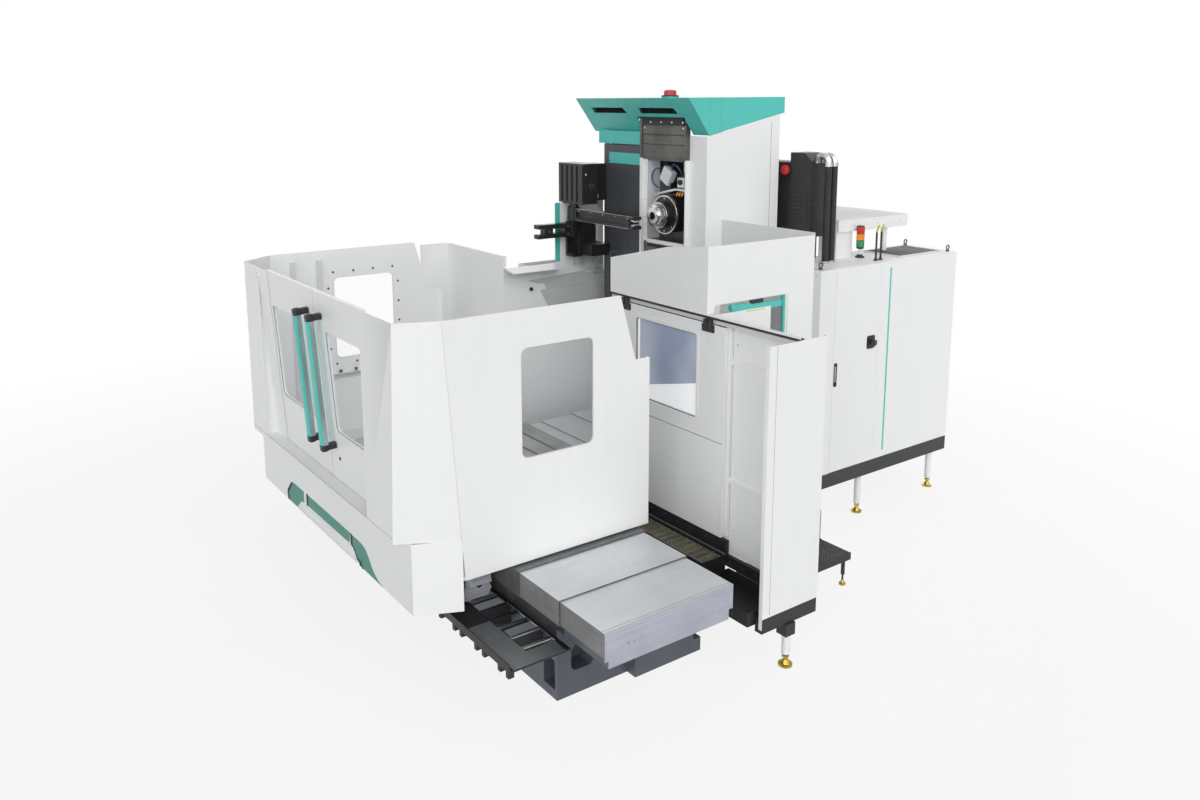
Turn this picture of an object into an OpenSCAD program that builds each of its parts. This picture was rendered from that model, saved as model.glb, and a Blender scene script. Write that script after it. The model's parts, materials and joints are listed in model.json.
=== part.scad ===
// Horizontal boring mill: T-shaped bed, enclosed rotary table that travels along X,
// column that travels along Y, headstock that travels along Z on the side of the column.
// The origin is on the floor below the centre of the rotary table, under the spindle axis.

/* [Table bed] */
// Half length of the table bed, to its end covers
bed_half = 2315; // [2300:5:2400]
// Half length of the bed's foot
bed_foot_half = 1775; // [1600:25:1900]
// Front face of the bed casting, in front of the table axis
bed_front = 400; // [360:10:420]
// Rear face of the bed casting, behind the table axis
bed_rear = 633; // [600:1:650]
// Height of the bed's guideway seats
bed_top = 545; // [500:5:560]
// Height of the overhanging end beams
bed_beam = 65; // [50:5:90]

/* [Guideways] */
// Height of a linear guide rail
rail_h = 55; // [45:5:60]
// Width of a linear guide rail
rail_w = 53; // [45:1:60]
// Half distance between the table rails
rail_half = 330; // [300:5:350]
// Running clearance between a carriage and its rail
run_gap = 0.5; // [0.3:0.1:1]
// Radius of the feed screws
screw_r = 32; // [25:1:36]

/* [Way covers] */
// Height of the smallest way cover
cover_top = 690; // [680:5:700]
// Lower edge of the way covers
cover_low = 548; // [548:1:560]
// Half width of the smallest way cover
cover_half = 458; // [440:2:462]
// Sheet thickness of the way covers
cover_t = 3; // [2:0.5:4]
// Step in size from one cover to the next
cover_step = 8; // [7:0.5:9]
// Length of one table cover
x_cover_len = 835; // [820:5:860]
// Part of each table cover that shows at rest
x_cover_show = 415; // [412:1:420]

/* [Table] */
// Side of the square table
table_side = 1250; // [1100:10:1260]
// Height of the table's working face
table_top = 945; // [930:5:960]
// Thickness of the table plate
table_h = 150; // [130:5:155]
// Chamfer on the table's corners
table_corner = 45; // [20:5:80]
// Number of T-slots
slot_count = 7; // [3:1:7]
// Distance between the T-slots
slot_pitch = 160; // [140:5:165]
// Width of a T-slot at the working face
slot_w = 22; // [18:1:24]
// Radius of the table's bearing ring
table_ring_r = 430; // [380:10:460]
// Radius of the table's centre bore
table_bore_r = 25; // [20:1:40]
// Half length of the saddle
saddle_half = 650; // [640:5:670]

/* [Table enclosure] */
// Half width of the enclosure
tub_half = 1430; // [1400:5:1450]
// Height of the enclosure's upper edge
tub_top = 2250; // [2100:10:2300]
// Front face of the enclosure, in front of the table axis
tub_front = 1140; // [1100:10:1180]
// Rear edge of the side walls, behind the table axis
tub_rear = 546; // [540:1:560]
// Height of the enclosure's floor
tub_floor = 720; // [718:1:730]
// Height of the door sill
sill_z = 1000; // [980:5:1040]
// Lower edge of the skirt
skirt_low = 535; // [500:5:560]
// Set-back of the skirt behind the front face
skirt_back = 80; // [60:5:100]
// Depth of the front corner chamfers
corner_y = 242; // [200:2:260]
// Sheet thickness of the walls
wall_t = 6; // [4:1:8]
// Backward lean of the doors
door_lean = 3.9; // [3:0.1:4.5]
// Meeting line of the two doors
door_meet = 130; // [100:5:160]
// Thickness of a door leaf
leaf_t = 25; // [20:1:30]

/* [Column] */
// Centre line of the column's bed
column_x = -225; // [-240:5:-210]
// Left side of the column
column_left = -890; // [-920:5:-860]
// Right side of the column
column_right = 440; // [420:5:445]
// Front face of the column at rest
column_front = 1900; // [1890:5:1920]
// Depth of the column
column_depth = 790; // [760:10:800]
// Right face of the column casting
casting_right = -335; // [-345:5:-325]
// Height of the cap's slanted front
cap_h = 285; // [260:5:300]
// Rear end of the column's bed
z_bed_end = 3250; // [3250:5:3300]

/* [Headstock] */
// Height of the spindle axis at rest
spindle_z = 2510; // [2500:5:2530]
// Height of the headstock below the spindle axis
head_down = 235; // [225:5:240]
// Height of the headstock above the spindle axis
head_up = 300; // [280:5:310]
// Front face of the headstock casting
head_front = 2020; // [2010:5:2040]
// Height of the spindle opening above the spindle axis
head_open_up = 430; // [400:5:440]
// Radius of the boring bar
bar_r = 65; // [50:1:70]
// Front face of the spindle nose
nose_y = 1724; // [1710:2:1730]
// Radius of the milling sleeve in its bearings
sleeve_r = 100; // [90:1:110]
// Radius of the sleeve's face ring
ring_r = 158; // [140:2:165]
// Running clearance of the shafts
shaft_gap = 0.05; // [0.02:0.01:0.08]
// Length of one shutter
shutter_len = 420; // [416:2:430]

/* [Guards] */
// Front plane of the fixed guards, behind the table axis
guard_y = 960; // [950:5:970]
// Outer end of the right guard
guard_right = 2315; // [2250:5:2330]
// Outer end of the left guard
guard_left = -2111; // [-2200:1:-2050]
// Inner end of the left guard
guard_left_in = -1060; // [-1070:5:-1056]
// Height of the sliding door's rail
guard_rail_z = 2050; // [2000:10:2060]
// Lower edge of the guard sheets
guard_low = 385; // [360:5:420]
// Right side plane of the upper box
box_right = 1502; // [1450:2:1520]
// Rear wall of the upper box
box_rear = 1960; // [1940:5:1970]

/* [Cabinets] */
// Front plane of the electrical cabinet
cabinet_x = 1080; // [1050:5:1120]
// Depth of the electrical cabinet
cabinet_d = 520; // [480:10:530]
// Near end of the electrical cabinet
cabinet_near = 2500; // [2480:10:2520]
// Far end of the electrical cabinet
cabinet_far = 4240; // [4200:10:4300]
// Lower edge of the cabinet's dark base
cabinet_low = 340; // [300:10:380]
// Height of the cabinet's dark base
cabinet_base_h = 120; // [100:5:140]
// Upper edge of the cabinet
cabinet_top = 2130; // [2100:10:2140]
// Line between the two cabinet doors
cabinet_split = 3220; // [3150:10:3300]

/* [Hidden] */
$fn = 64;

// Colours
white = [0.93, 0.94, 0.94];
teal = [0.25, 0.72, 0.65];
slate = [0.3, 0.33, 0.38];
black = [0.09, 0.09, 0.1];
steel = [0.74, 0.73, 0.75];
glass = [0.7, 0.78, 0.85, 0.5];

// Guideways
rail_top = bed_top + rail_h;
carriage_z = bed_top + 15;
saddle_z = rail_top + 15;
screw_z = bed_top - 45;
trough_half = 120;
trough_z = bed_top - 130;
nut_half = 90;
screw_half = bed_foot_half - 75;
hub_r = 150;
base_r = 520;
ring_z = 790;

// Way covers: size 0 is the smallest
function cover_h(k) = cover_top + k * cover_step;
tray_z = 390;
chain_bend = 130;
chain_h = 60;
chain_w = 150;
chain_y = -640;
chain_z = tray_z + 12.5;
chain_top = chain_z + 2 * chain_bend;
chain_turn = bed_half - 1245;

// Table enclosure
corner_x = tub_half - 184;
corner_x_right = tub_half - 102;
front_rear = tub_front - corner_y;
lean_len = (tub_top - sill_z - 3) / cos(door_lean);
door_y = -tub_front + wall_t + 3;
left_panel = 463 - tub_half;
left_leaf = left_panel + 197;
right_leaf = tub_half - 525;

wall_in = tub_half - wall_t;
skirt_y = tub_front - skirt_back;
skirt_half = tub_half - 125;
skirt_end = 800;
near_low = 790;
shoe_y = door_y + lean_len * sin(door_lean) + 4;

// Column
column_top = spindle_z + head_open_up + 110;
base_z = saddle_z;
base_top = base_z + 145;
column_rear = column_front + column_depth;
base_rear = column_rear + 30;
z_rail_half = 400;
z_cover_half = 520;
z_cover_x = column_x;
z_front_start = 500;
z_front_len = 450;
z_front_show = (column_front - z_front_start - z_front_len) / 3;
z_rear_len = 505;
z_rear_show = (z_bed_end - base_rear - z_rear_len) / 2;
cap_left = column_left - 155;
cap_low = column_top + 105;
cap_top = cap_low + cap_h;
cap_front = 1706;
cap_back = 2739;
cap_t = 6;

// Headstock
head_left = casting_right + 60;
head_right = column_right - 225;
head_rear = column_rear - 40;
head_low = spindle_z - head_down;
head_high = spindle_z + head_up;
head_open = spindle_z + head_open_up;
rail_y1 = column_front + 200;
rail_y2 = column_rear - 130;
y_screw_x = casting_right + 32;
y_screw_r = 25;
y_screw_y = (rail_y1 + rail_y2) / 2;
head_bearing_r = 150;
ring_rear = 1872;
taper_r = 31;
shutter_low = 720;
shutter_t = 3;
shutter_step = 7;
shutter_left = -310;
shutter_right = 233;
shutter_gap = 6;
shutter_y0 = column_front - 34;
shutter_y3 = shutter_y0 + 3 * shutter_step;
upper_end = head_open + 3 * shutter_gap + shutter_len;
// Where the slanted front clears the shutters' channels
cap_cut = cap_low + cap_h * (column_front + 68 - shutter_y0) / (column_front + 20 - cap_front);
lower_show = (head_low - shutter_low - shutter_len) / 3;

// Tool changer
post_x = -985;
post_y = 1645;
arm_low = 2385;
arm_high = 2505;
arm_tip = -96;
motor_end = column_left + 145;
motor_y = post_y - 85;
motor_top = arm_high + 385;

// Guards
guard_top_left = 2115;
box_low = guard_rail_z + 12;
door_low = 592;
guard_panel_y = guard_y + 50;
end_front = guard_y - 260;
end_rear = guard_y + 219;
belt_pitch = 63;
belt_start = 365;
belt_end = bed_foot_half - 15;
belt_y = guard_y - 135;

// A block between two corners
module block(x0, x1, y0, y1, z0, z1) {
    translate([x0, y0, z0]) cube([x1 - x0, y1 - y0, z1 - z0]);
}

// An outline in Y and Z, extruded along +X from x
module along_x(x, len, pts) {
    translate([x, 0, 0]) rotate([90, 0, 90]) linear_extrude(len) polygon(pts);
}

// An outline in X and Z, extruded along +Y from y
module along_y(y, len, pts) {
    translate([0, y + len, 0]) rotate([90, 0, 0]) linear_extrude(len) polygon(pts);
}

// A cylinder along +X
module rod_x(x, y, z, len, r) {
    translate([x, y, z]) rotate([0, 90, 0]) cylinder(h = len, r = r);
}

// A cylinder along +Y
module rod_y(x, y, z, len, r) {
    translate([x, y, z]) rotate([-90, 0, 0]) cylinder(h = len, r = r);
}

// A rounded rectangle
module rounded(x0, x1, y0, y1, r) {
    translate([x0 + r, y0]) square([x1 - x0 - 2 * r, y1 - y0]);
    translate([x0, y0 + r]) square([x1 - x0, y1 - y0 - 2 * r]);
    for (x = [x0 + r, x1 - r], y = [y0 + r, y1 - r]) translate([x, y]) circle(r);
}

// A rounded window through a wall that lies across X
module window_x(x, len, y0, y1, z0, z1, r) {
    translate([x, 0, 0]) rotate([90, 0, 90]) linear_extrude(len) rounded(y0, y1, z0, z1, r);
}

// A rounded window through a wall that lies across Y
module window_y(y, len, x0, x1, z0, z1, r) {
    translate([0, y + len, 0]) rotate([90, 0, 0]) linear_extrude(len) rounded(x0, x1, z0, z1, r);
}

// One channel-shaped way cover along +X, open below, with a wiper at its free end
module way_cover(start, len, k, half, wiper) {
    w = half + k * cover_step;
    h = cover_h(k);
    lip = cover_step - cover_t - 0.5;
    difference() {
        block(start, start + len, -w, w, cover_low, h);
        block(start - 1, start + len + 1, -w + cover_t, w - cover_t, cover_low - 1, h - cover_t);
    }
    if (wiper != 0) {
        y0 = w - cover_t - lip;
        x0 = wiper > 0 ? start + len - 12 : start;
        block(x0, x0 + 12, -y0 - lip, y0 + lip, h - cover_t - lip, h - cover_t);
        for (s = [-1, 1]) {
            block(x0, x0 + 12, min(s * y0, s * (y0 + lip)), max(s * y0, s * (y0 + lip)),
                cover_low, h - cover_t);
        }
    }
}

// Turns a cover along X into one along +Y on the column's bed
module on_column_bed() {
    translate([z_cover_x, 0, 0]) rotate([0, 0, 90]) children();
}

// Bed

module x_bed() color(slate) {
    difference() {
        union() {
            block(-bed_foot_half, bed_foot_half, -bed_front, bed_rear - 523, 0, bed_top - bed_beam);
            block(-bed_foot_half - 80, bed_foot_half + 80, bed_rear - 523, bed_rear, 0, bed_top - 115);
            block(-bed_half + 15, bed_half - 15, -430, 430, bed_top - bed_beam, bed_top);
            for (s = [-1, 1]) scale_side(s) along_y(-230, 460, [[bed_foot_half - 1, bed_top - bed_beam + 1],
                [bed_half - 60, bed_top - bed_beam + 1], [bed_foot_half - 1, 250]]);
        }
        block(-bed_half, bed_half, -trough_half, trough_half, trough_z, bed_top + 1);
        for (s = [-1, 1]) scale_side(s) {
            window_x(bed_foot_half - 120, 130, -300, -140, 150, 310, 40);
        }
        for (x = [-1695 : 565 : 1695]) {
            block(x - 60, x + 60, -bed_front - 1, -bed_front + 70, 60, 240);
        }
        block(-bed_foot_half - 81, bed_foot_half + 81, bed_rear - 60, bed_rear + 1, 90, 300);
    }
}

// Mirrors to the left side where s is negative
module scale_side(s) {
    if (s > 0) children();
    else mirror([1, 0, 0]) children();
}

module z_bed() color(slate) difference() {
    union() {
        block(column_x - 550, column_x + 550, bed_rear, z_bed_end, 0, bed_top - bed_beam);
        block(column_x - 500, column_x + 500, bed_rear, z_bed_end + 40, bed_top - bed_beam, bed_top);
    }
    block(column_x - trough_half, column_x + trough_half, bed_rear - 1, z_bed_end + 41,
        trough_z, bed_top + 1);
    for (s = [-1, 1], y = [bed_rear + 160 : 480 : z_bed_end - 400]) {
        block(column_x + s * 550 - 80, column_x + s * 550 + 80, y, y + 340, 110, 400);
    }
}

module bed_rails() color(steel) {
    for (s = [-1, 1]) {
        block(-1560, 1560, s * rail_half - rail_w / 2, s * rail_half + rail_w / 2, bed_top, rail_top);
        block(column_x + s * z_rail_half - rail_w / 2, column_x + s * z_rail_half + rail_w / 2,
            bed_rear, z_bed_end - 40, bed_top, rail_top);
    }
}

module feed_screws() color(steel) {
    rod_x(-screw_half, 0, screw_z, 2 * screw_half, screw_r);
    for (x = [-screw_half - 40, screw_half - 60]) {
        block(x, x + 100, -trough_half, trough_half, trough_z, bed_top - 5);
    }
    rod_y(column_x, bed_rear + 60, screw_z, z_bed_end - bed_rear - 100, screw_r);
    for (y = [bed_rear + 20, z_bed_end - 100]) {
        block(column_x - trough_half, column_x + trough_half, y, y + 80, trough_z, bed_top - 5);
    }
}

// End covers that stay on the beds
module fixed_covers() color(steel) {
    for (s = [-1, 1]) scale_side(s) {
        way_cover(bed_half - x_cover_len, x_cover_len - 3, 0, cover_half, 0);
        block(bed_half - 3, bed_half, -cover_half, -230, cover_low - 22, cover_top);
        block(bed_half - 3, bed_half, -230, cover_half, cover_low - 4, cover_top);
        block(bed_half - 15, bed_half - 3, -430, 430, bed_top - bed_beam, cover_low);
    }
    on_column_bed() {
        way_cover(z_front_start, z_front_len, 0, z_cover_half, 0);
        for (s = [-1, 1]) {
            block(bed_rear + 20, bed_rear + 300, s > 0 ? 480 : -z_cover_half + cover_t,
                s > 0 ? z_cover_half - cover_t : -480, bed_top, bed_top + 10);
        }
        way_cover(z_bed_end - z_rear_len, z_rear_len, 0, z_cover_half, 0);
        block(z_bed_end, z_bed_end + 3, -z_cover_half, z_cover_half, bed_top, cover_top);
    }
}

// A levelling leg: pad, thread and tube
module leg(x, y, top, r) {
    translate([x, y, 0]) {
        cylinder(h = 14, r = r * 1.7);
        cylinder(h = 40, r1 = r * 1.3, r2 = r * 0.6);
        cylinder(h = 90, r = r * 0.5);
        translate([0, 0, 80]) cylinder(h = top - 80, r = r);
    }
}

module levelling_legs() color(white) {
    leg(guard_right - 25, guard_y - 20, 210, 26);
    leg(guard_left + 25, guard_y - 20, 210, 26);
    leg(cabinet_x - 45, cabinet_far - 1110, cabinet_low, 26);
    leg(cabinet_x - 45, cabinet_far - 140, cabinet_low, 26);
    leg(cabinet_x - cabinet_d + 60, cabinet_near + 100, cabinet_low, 26);
    leg(box_right - 40, box_rear - 60, 250, 26);
    leg(600, box_rear - 60, 250, 26);
}

// Guards

module left_guard() color(white) {
    difference() {
        union() {
            block(guard_left, guard_left_in, guard_y, guard_y + 30, guard_low, guard_top_left);
            block(guard_left, guard_left + 25, end_front, guard_y + 30, guard_low, guard_top_left);
            along_x(guard_left_in - 3, 3, [[guard_y, 250], [guard_y, 2010], [1491, 2010], [1491, 2541],
                [2014, 2541], [2014, 250]]);
        }
        window_x(guard_left_in - 10, 20, 1732, 1934, 2098, 2353, 60);
    }
    block(guard_left_in - 500, guard_left_in, 1950, 2014, 0, 260);
    // Deflector that leans down towards the column
    along_y(guard_y, 531, [[guard_left_in, 2010], [guard_left_in + 155, 1985], [guard_left_in + 155, 1982],
        [guard_left_in, 2007]]);
}

module right_guard() color(white) {
    // End panel with its folded edges
    block(guard_right - 3, guard_right, end_front, end_rear, guard_low, guard_rail_z);
    block(guard_right - 28, guard_right - 3, end_front, end_front + 3, guard_low - 70, guard_rail_z);
    block(guard_right - 28, guard_right - 3, end_rear - 3, end_rear, guard_low, guard_rail_z);
    block(box_right + 3, guard_right - 3, guard_y + 18, guard_panel_y + 3, guard_rail_z - 3, guard_rail_z);
    // Recessed panel with its ribs
    block(1560, guard_right - 3, guard_panel_y, guard_panel_y + 3, 495, guard_rail_z - 12);
    for (z = [1783, 988]) {
        along_x(1640, guard_right - 3 - 1640, [[guard_panel_y - 14, z - 16], [guard_panel_y - 14, z + 10],
            [guard_panel_y, z + 22], [guard_panel_y, z - 22]]);
    }
    along_x(1640, guard_right - 3 - 1640, [[guard_panel_y - 16, 495], [guard_panel_y - 16, 560],
        [guard_panel_y, 590], [guard_panel_y, 495]]);
}

module guard_frame() color(black) {
    // Door rail
    block(464, guard_right - 3, guard_y, guard_y + 18, guard_rail_z - 12, guard_rail_z + 12);
    block(464, guard_right - 3, guard_y + 12, guard_y + 16, guard_rail_z - 40, guard_rail_z - 12);
    // Strip below the door and the foot beam
    block(464, 1720, guard_y + 2, guard_y + 32, 466, 586);
    block(1700, guard_right - 28, guard_y + 2, guard_y + 32, 420, 494);
    block(guard_right - 60, guard_right - 3, end_front + 3, end_rear - 3, 290, guard_low);
    block(guard_right - 70, guard_right + 10, guard_y - 60, guard_y + 20, 210, 290);
    block(guard_left + 3, guard_left + 60, end_front + 3, guard_y + 30, 290, guard_low);
    block(guard_left - 10, guard_left + 70, guard_y - 60, guard_y + 20, 210, 290);
    // Side column of the rail by the opening
    block(444, 464, guard_y + 2, guard_y + 62, 466, 2340);
    // Stays between the bed and the guards, which also carry the chip conveyor
    for (x = [700, 1500]) {
        block(x, x + 60, bed_rear, guard_y + 32, 310, 380);
        block(x, x + 60, guard_y + 2, guard_y + 32, 380, 466);
    }
    block(-1300, -1240, bed_rear, guard_y, 390, 425);
    block(1700, 1720, guard_y + 2, guard_y + 32, 420, 466);
}

module upper_box() color(white) {
    along_y(guard_y, 3, [[464, box_low], [464, 2304], [1102, 2455], [box_right, 2500], [box_right, box_low]]);
    difference() {
        block(box_right - 3, box_right, guard_y + 3, box_rear, 250, 2500);
        block(box_right - 4, box_right + 1, guard_y + 62, 1687, 249, 2113);
        block(box_right - 4, box_right + 1, guard_y - 1, guard_y + 63, 249, box_low);
    }
    block(560, box_right, box_rear - 3, box_rear, 250, 2516);
    // Corner stays
    block(box_right - 23, box_right - 3, 1687, 1712, 250, 2500);
    block(560, 600, box_rear - 100, box_rear - 3, 250, 280);
    block(box_right - 100, box_right - 3, box_rear - 100, box_rear - 3, 250, 280);
}

module side_console() {
    color(teal) difference() {
        block(1400, 1480, 1080, 1640, 1500, 1990);
        block(1440, 1481, 1110, 1610, 1530, 1960);
    }
    color(black) block(1440, 1478, 1110, 1610, 1530, 1960);
    color(slate) block(1400, 1476, 1640, 1690, 1600, 1900);
    color(black) rod_x(1478, 1200, 1620, 24, 40);
    color(steel) block(1476, box_right - 7, 1640, 1687, 1700, 1800);
}

// Chips and cables

module chip_conveyor() color(black) {
    difference() {
        block(belt_start - 20, belt_end, belt_y - 100, belt_y + 100, 380, 520);
        block(belt_start - 16, belt_end - 4, belt_y - 96, belt_y + 96, 384, 521);
    }
    // Coolant tray below the fixed panel
    difference() {
        block(belt_end, guard_right - 60, 640, guard_y - 5, 330, 420);
        block(belt_end + 4, guard_right - 64, 644, guard_y - 9, 334, 421);
    }
    rod_y(belt_end + 40, 660, 270, 60, 32);
    block(belt_end + 20, belt_end + 60, 660, guard_y - 5, 300, 330);
}

module chip_belt() color(slate) {
    for (x = [belt_start : belt_pitch : belt_end - belt_pitch]) {
        block(x, x + belt_pitch - 3, belt_y - 90, belt_y + 90, 494, 500);
        rod_y(x + belt_pitch - 1.5, belt_y - 90, 494, 180, 5);
    }
    for (y = [belt_y - 80, belt_y + 60]) block(belt_start - 5, belt_end - 8, y, y + 20, 384, 490);
}

module cable_tray() color(black) {
    difference() {
        block(-1900, 1920, -800, -bed_front, tray_z, tray_z + 12);
        for (x = [-1840 : 120 : 1760]) block(x, x + 96, -610, -430, tray_z - 1, tray_z + 13);
    }
    block(-1900, 1920, -800, -794, tray_z, tray_z + 50);
    for (x = [-1618 : 360 : 1622]) {
        along_x(x, 12, [[-780, tray_z], [-bed_front, tray_z], [-bed_front, 250]]);
    }
}

// The cable carrier lies on the tray and turns up to the saddle's bracket
module cable_chain() color(slate) {
    block(-700, chain_turn, chain_y, chain_y + chain_w, chain_z, chain_z + chain_h);
    translate([chain_turn, chain_y, chain_z + chain_bend]) rotate([-90, 0, 0]) difference() {
        cylinder(h = chain_w, r = chain_bend);
        translate([0, 0, -1]) cylinder(h = chain_w + 2, r = chain_bend - chain_h);
        translate([-chain_bend * 2, -chain_bend * 2, -1]) cube([chain_bend * 2, chain_bend * 4, chain_w + 2]);
    }
    block(80, chain_turn, chain_y, chain_y + chain_w, chain_top - chain_h, chain_top);
}

// Cabinets and outer units

module cabinet() {
    back = cabinet_x - cabinet_d;
    color(white) difference() {
        block(back, cabinet_x - 0.5, cabinet_near, cabinet_far, cabinet_low + cabinet_base_h, cabinet_top);
        block(back + 3, cabinet_x, cabinet_near + 180, cabinet_split - 40, 490, 2090);
        block(back + 3, cabinet_x, cabinet_split + 40, cabinet_far - 40, 490, 2090);
    }
    color(white) block(cabinet_x - 0.5, cabinet_x + 20, cabinet_near, cabinet_near + 180,
        cabinet_low + cabinet_base_h, cabinet_top);
    color(black) block(back, cabinet_x + 18, cabinet_near, cabinet_far, cabinet_low,
        cabinet_low + cabinet_base_h);
    // Duct from the column's bed
    color(black) block(column_x + 550, back, cabinet_near + 460, cabinet_near + 560,
        cabinet_low + 40, cabinet_low + cabinet_base_h);
}

module cabinet_door(y0, y1) {
    block(cabinet_x, cabinet_x + 20, y0, y1, cabinet_low + cabinet_base_h + 3, cabinet_top - 3);
}

module left_cabinet_door() {
    y0 = cabinet_near + 183;
    color(white) difference() {
        cabinet_door(y0, cabinet_split - 3);
        window_x(cabinet_x + 6, 20, y0 + 12, y0 + 42, 1180, 1370, 14);
    }
    color(black) window_x(cabinet_x + 6, 8, y0 + 12.5, y0 + 41.5, 1180.5, 1369.5, 13.5);
    color(black) window_x(cabinet_x + 20, 8, cabinet_split - 130, cabinet_split - 50, 1440, 1530, 14);
    color(black) rod_x(cabinet_x + 28, cabinet_split - 90, 1485, 14, 26);
}

module right_cabinet_door() {
    color(white) cabinet_door(cabinet_split, cabinet_far - 3);
    color(teal) block(cabinet_x + 20, cabinet_x + 24, cabinet_split + 118, cabinet_split + 134, 520, 2080);
}

module hood_unit() {
    x = cabinet_x - 300;
    y = cabinet_near + 560;
    color(white) block(x - 210, x - 20, y, y + 200, cabinet_top, cabinet_top + 220);
    color(white) block(x - 880, x, y, y + 900, cabinet_top + 220, cabinet_top + 320);
    color(white) block(x - 80, x - 40, y + 640, y + 680, cabinet_top, cabinet_top + 220);
    color(black) for (side = [50, 110]) {
        translate([cabinet_x - 80, cabinet_split + side, cabinet_top]) cylinder(h = 240, r = 8);
    }
}

module rear_unit() {
    x = cabinet_x - 350;
    y = cabinet_near + 265;
    low = cabinet_top + 200;
    color(black) difference() {
        union() {
            block(x - 630, x, y, y + 200, low, low + 595);
            block(x - 230, x, y, y + 200, low + 595, low + 675);
        }
        along_y(y - 1, 202, [[x - 80, low + 676], [x + 1, low + 676], [x + 1, low + 610]]);
        block(x - 629, x - 230, y - 1, y + 5, low + 70, low + 570);
    }
    color(black) block(x - 160, x - 100, y, y + 200, cabinet_top, low);
    color("firebrick") rod_y(x - 275, y - 21, low + 530, 27, 40);
    color(black) for (side = [65, 135]) {
        translate([x + 55, y + side, low + 600]) rotate([90, 0, 0]) rotate_extrude(angle = 180)
            translate([60, 0]) circle(24);
        translate([x + 115, y + side, cabinet_top]) cylinder(h = low + 600 - cabinet_top, r = 24);
    }
}

module signal_tower() {
    x = cabinet_x - 265;
    y = cabinet_split + 75;
    color(white) translate([x, y, cabinet_top]) cylinder(h = 90, r = 20);
    color("green") translate([x, y, cabinet_top + 90]) cylinder(h = 57, r = 33);
    color("orange") translate([x, y, cabinet_top + 147]) cylinder(h = 57, r = 33);
    color("red") translate([x, y, cabinet_top + 204]) cylinder(h = 57, r = 33);
}

module step_platform() {
    color(black) difference() {
        block(1520, 1845, 1260, 2075, 190, 240);
        block(1526, 1839, 1266, 2069, 189, 234);
    }
    color(black) for (x = [1560, 1815], y = [1300, 2030]) leg(x, y, 234, 14);
    color(black) block(box_right, 1526, 1780, 1860, 200, 300);
    color(black) block(1540, 1570, 2030, 2060, 240, 450);
    color("orange") block(1540, 1570, 2030, 2060, 450, 470);
}

module tool_magazine() {
    x0 = guard_left_in - 740;
    x1 = guard_left_in - 3.3;
    y0 = guard_y + 600;
    color(white) difference() {
        block(x0, x1, y0, y0 + 1000, 350, 1900);
        block(x0 + 10, x1 - 10, y0 + 10, y0 + 990, 420, 1901);
    }
    color(black) for (x = [x0 + 40, x1 - 76.7], y = [y0 + 40, y0 + 940]) {
        block(x, x + 40, y, y + 40, 0, 350);
    }
    // Chain of tool pots on its two sprockets
    color(slate) for (i = [0 : 8], s = [-1, 1]) {
        rod_y(x0 + 360 + s * 220, y0 + 90, 620 + i * 135, 160, 52);
    }
    color(slate) block(x0 + 100, x0 + 620, y0 + 250, y0 + 290, 420, 1880);
}

// Saddle and table

module carriage(x, y, len) {
    difference() {
        block(x - len / 2, x + len / 2, y - 60, y + 60, carriage_z, saddle_z);
        block(x - len, x + len, y - rail_w / 2 - run_gap, y + rail_w / 2 + run_gap,
            carriage_z - 1, rail_top + run_gap);
    }
}

module nut_unit(len) {
    difference() {
        block(-len / 2, len / 2, -nut_half, nut_half, trough_z + 10, saddle_z);
        rod_x(-len, 0, screw_z, 2 * len, screw_r + run_gap);
    }
}

module saddle() color(slate) {
    difference() {
        block(-saddle_half, saddle_half, -450, 450, saddle_z, tub_floor);
        translate([0, 0, saddle_z + 20]) cylinder(h = 200, r = hub_r + shaft_gap);
        for (x = [-saddle_half + 100, saddle_half - 100], y = [-300, 300]) {
            translate([x, y, tub_floor - 30]) cylinder(h = 31, r = 45);
        }
    }
    for (x = [-480, 480], y = [-rail_half, rail_half]) carriage(x, y, 260);
    nut_unit(260);
    block(440, 560, chain_y, -450, chain_top + 0.5, chain_top + 40);
}

module rotary_base() color(slate) difference() {
    translate([0, 0, tub_floor]) cylinder(h = ring_z - tub_floor, r = base_r, $fn = 128);
    translate([0, 0, tub_floor - 1]) cylinder(h = ring_z, r = hub_r + shaft_gap);
    for (a = [0 : 30 : 330]) rotate(a) translate([base_r - 40, 0, ring_z - 25]) cylinder(h = 26, r = 14);
}

module table() color(steel) difference() {
    union() {
        translate([0, 0, table_top - table_h]) linear_extrude(table_h) difference() {
            square(table_side, center = true);
            for (a = [0 : 90 : 270]) rotate(a) translate([table_side / 2, table_side / 2])
                rotate(45) square(table_corner * sqrt(2), center = true);
        }
        translate([0, 0, ring_z + 0.3]) {
            cylinder(h = table_top - table_h - ring_z, r = table_ring_r, $fn = 128);
        }
        translate([0, 0, saddle_z + 30]) cylinder(h = table_top - saddle_z - 40, r = hub_r);
    }
    for (i = [0 : slot_count - 1]) {
        y = (i - (slot_count - 1) / 2) * slot_pitch;
        block(-table_side, table_side, y - slot_w / 2, y + slot_w / 2, table_top - 45, table_top + 1);
        block(-table_side, table_side, y - slot_w * 0.85, y + slot_w * 0.85, table_top - 45, table_top - 27);
    }
    translate([0, 0, table_top - 120]) cylinder(h = 121, r = table_bore_r);
}

module x_cover_near() color(steel) {
    for (s = [-1, 1]) scale_side(s) way_cover(saddle_half, x_cover_len, 2, cover_half, 1);
}

module x_cover_mid_right() color(steel) {
    way_cover(bed_half - x_cover_len - x_cover_show, x_cover_len, 1, cover_half, 1);
}

module x_cover_mid_left() color(steel) mirror([1, 0, 0]) {
    way_cover(bed_half - x_cover_len - x_cover_show, x_cover_len, 1, cover_half, 1);
}

// Table enclosure

// The frame in which the leaning doors are upright
module door_frame(y) {
    translate([0, y, tub_top]) rotate([door_lean, 0, 0]) children();
}

// Height along the leaning door for a height above the floor
function on_door(z) = (z - tub_top) / cos(door_lean);

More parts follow.
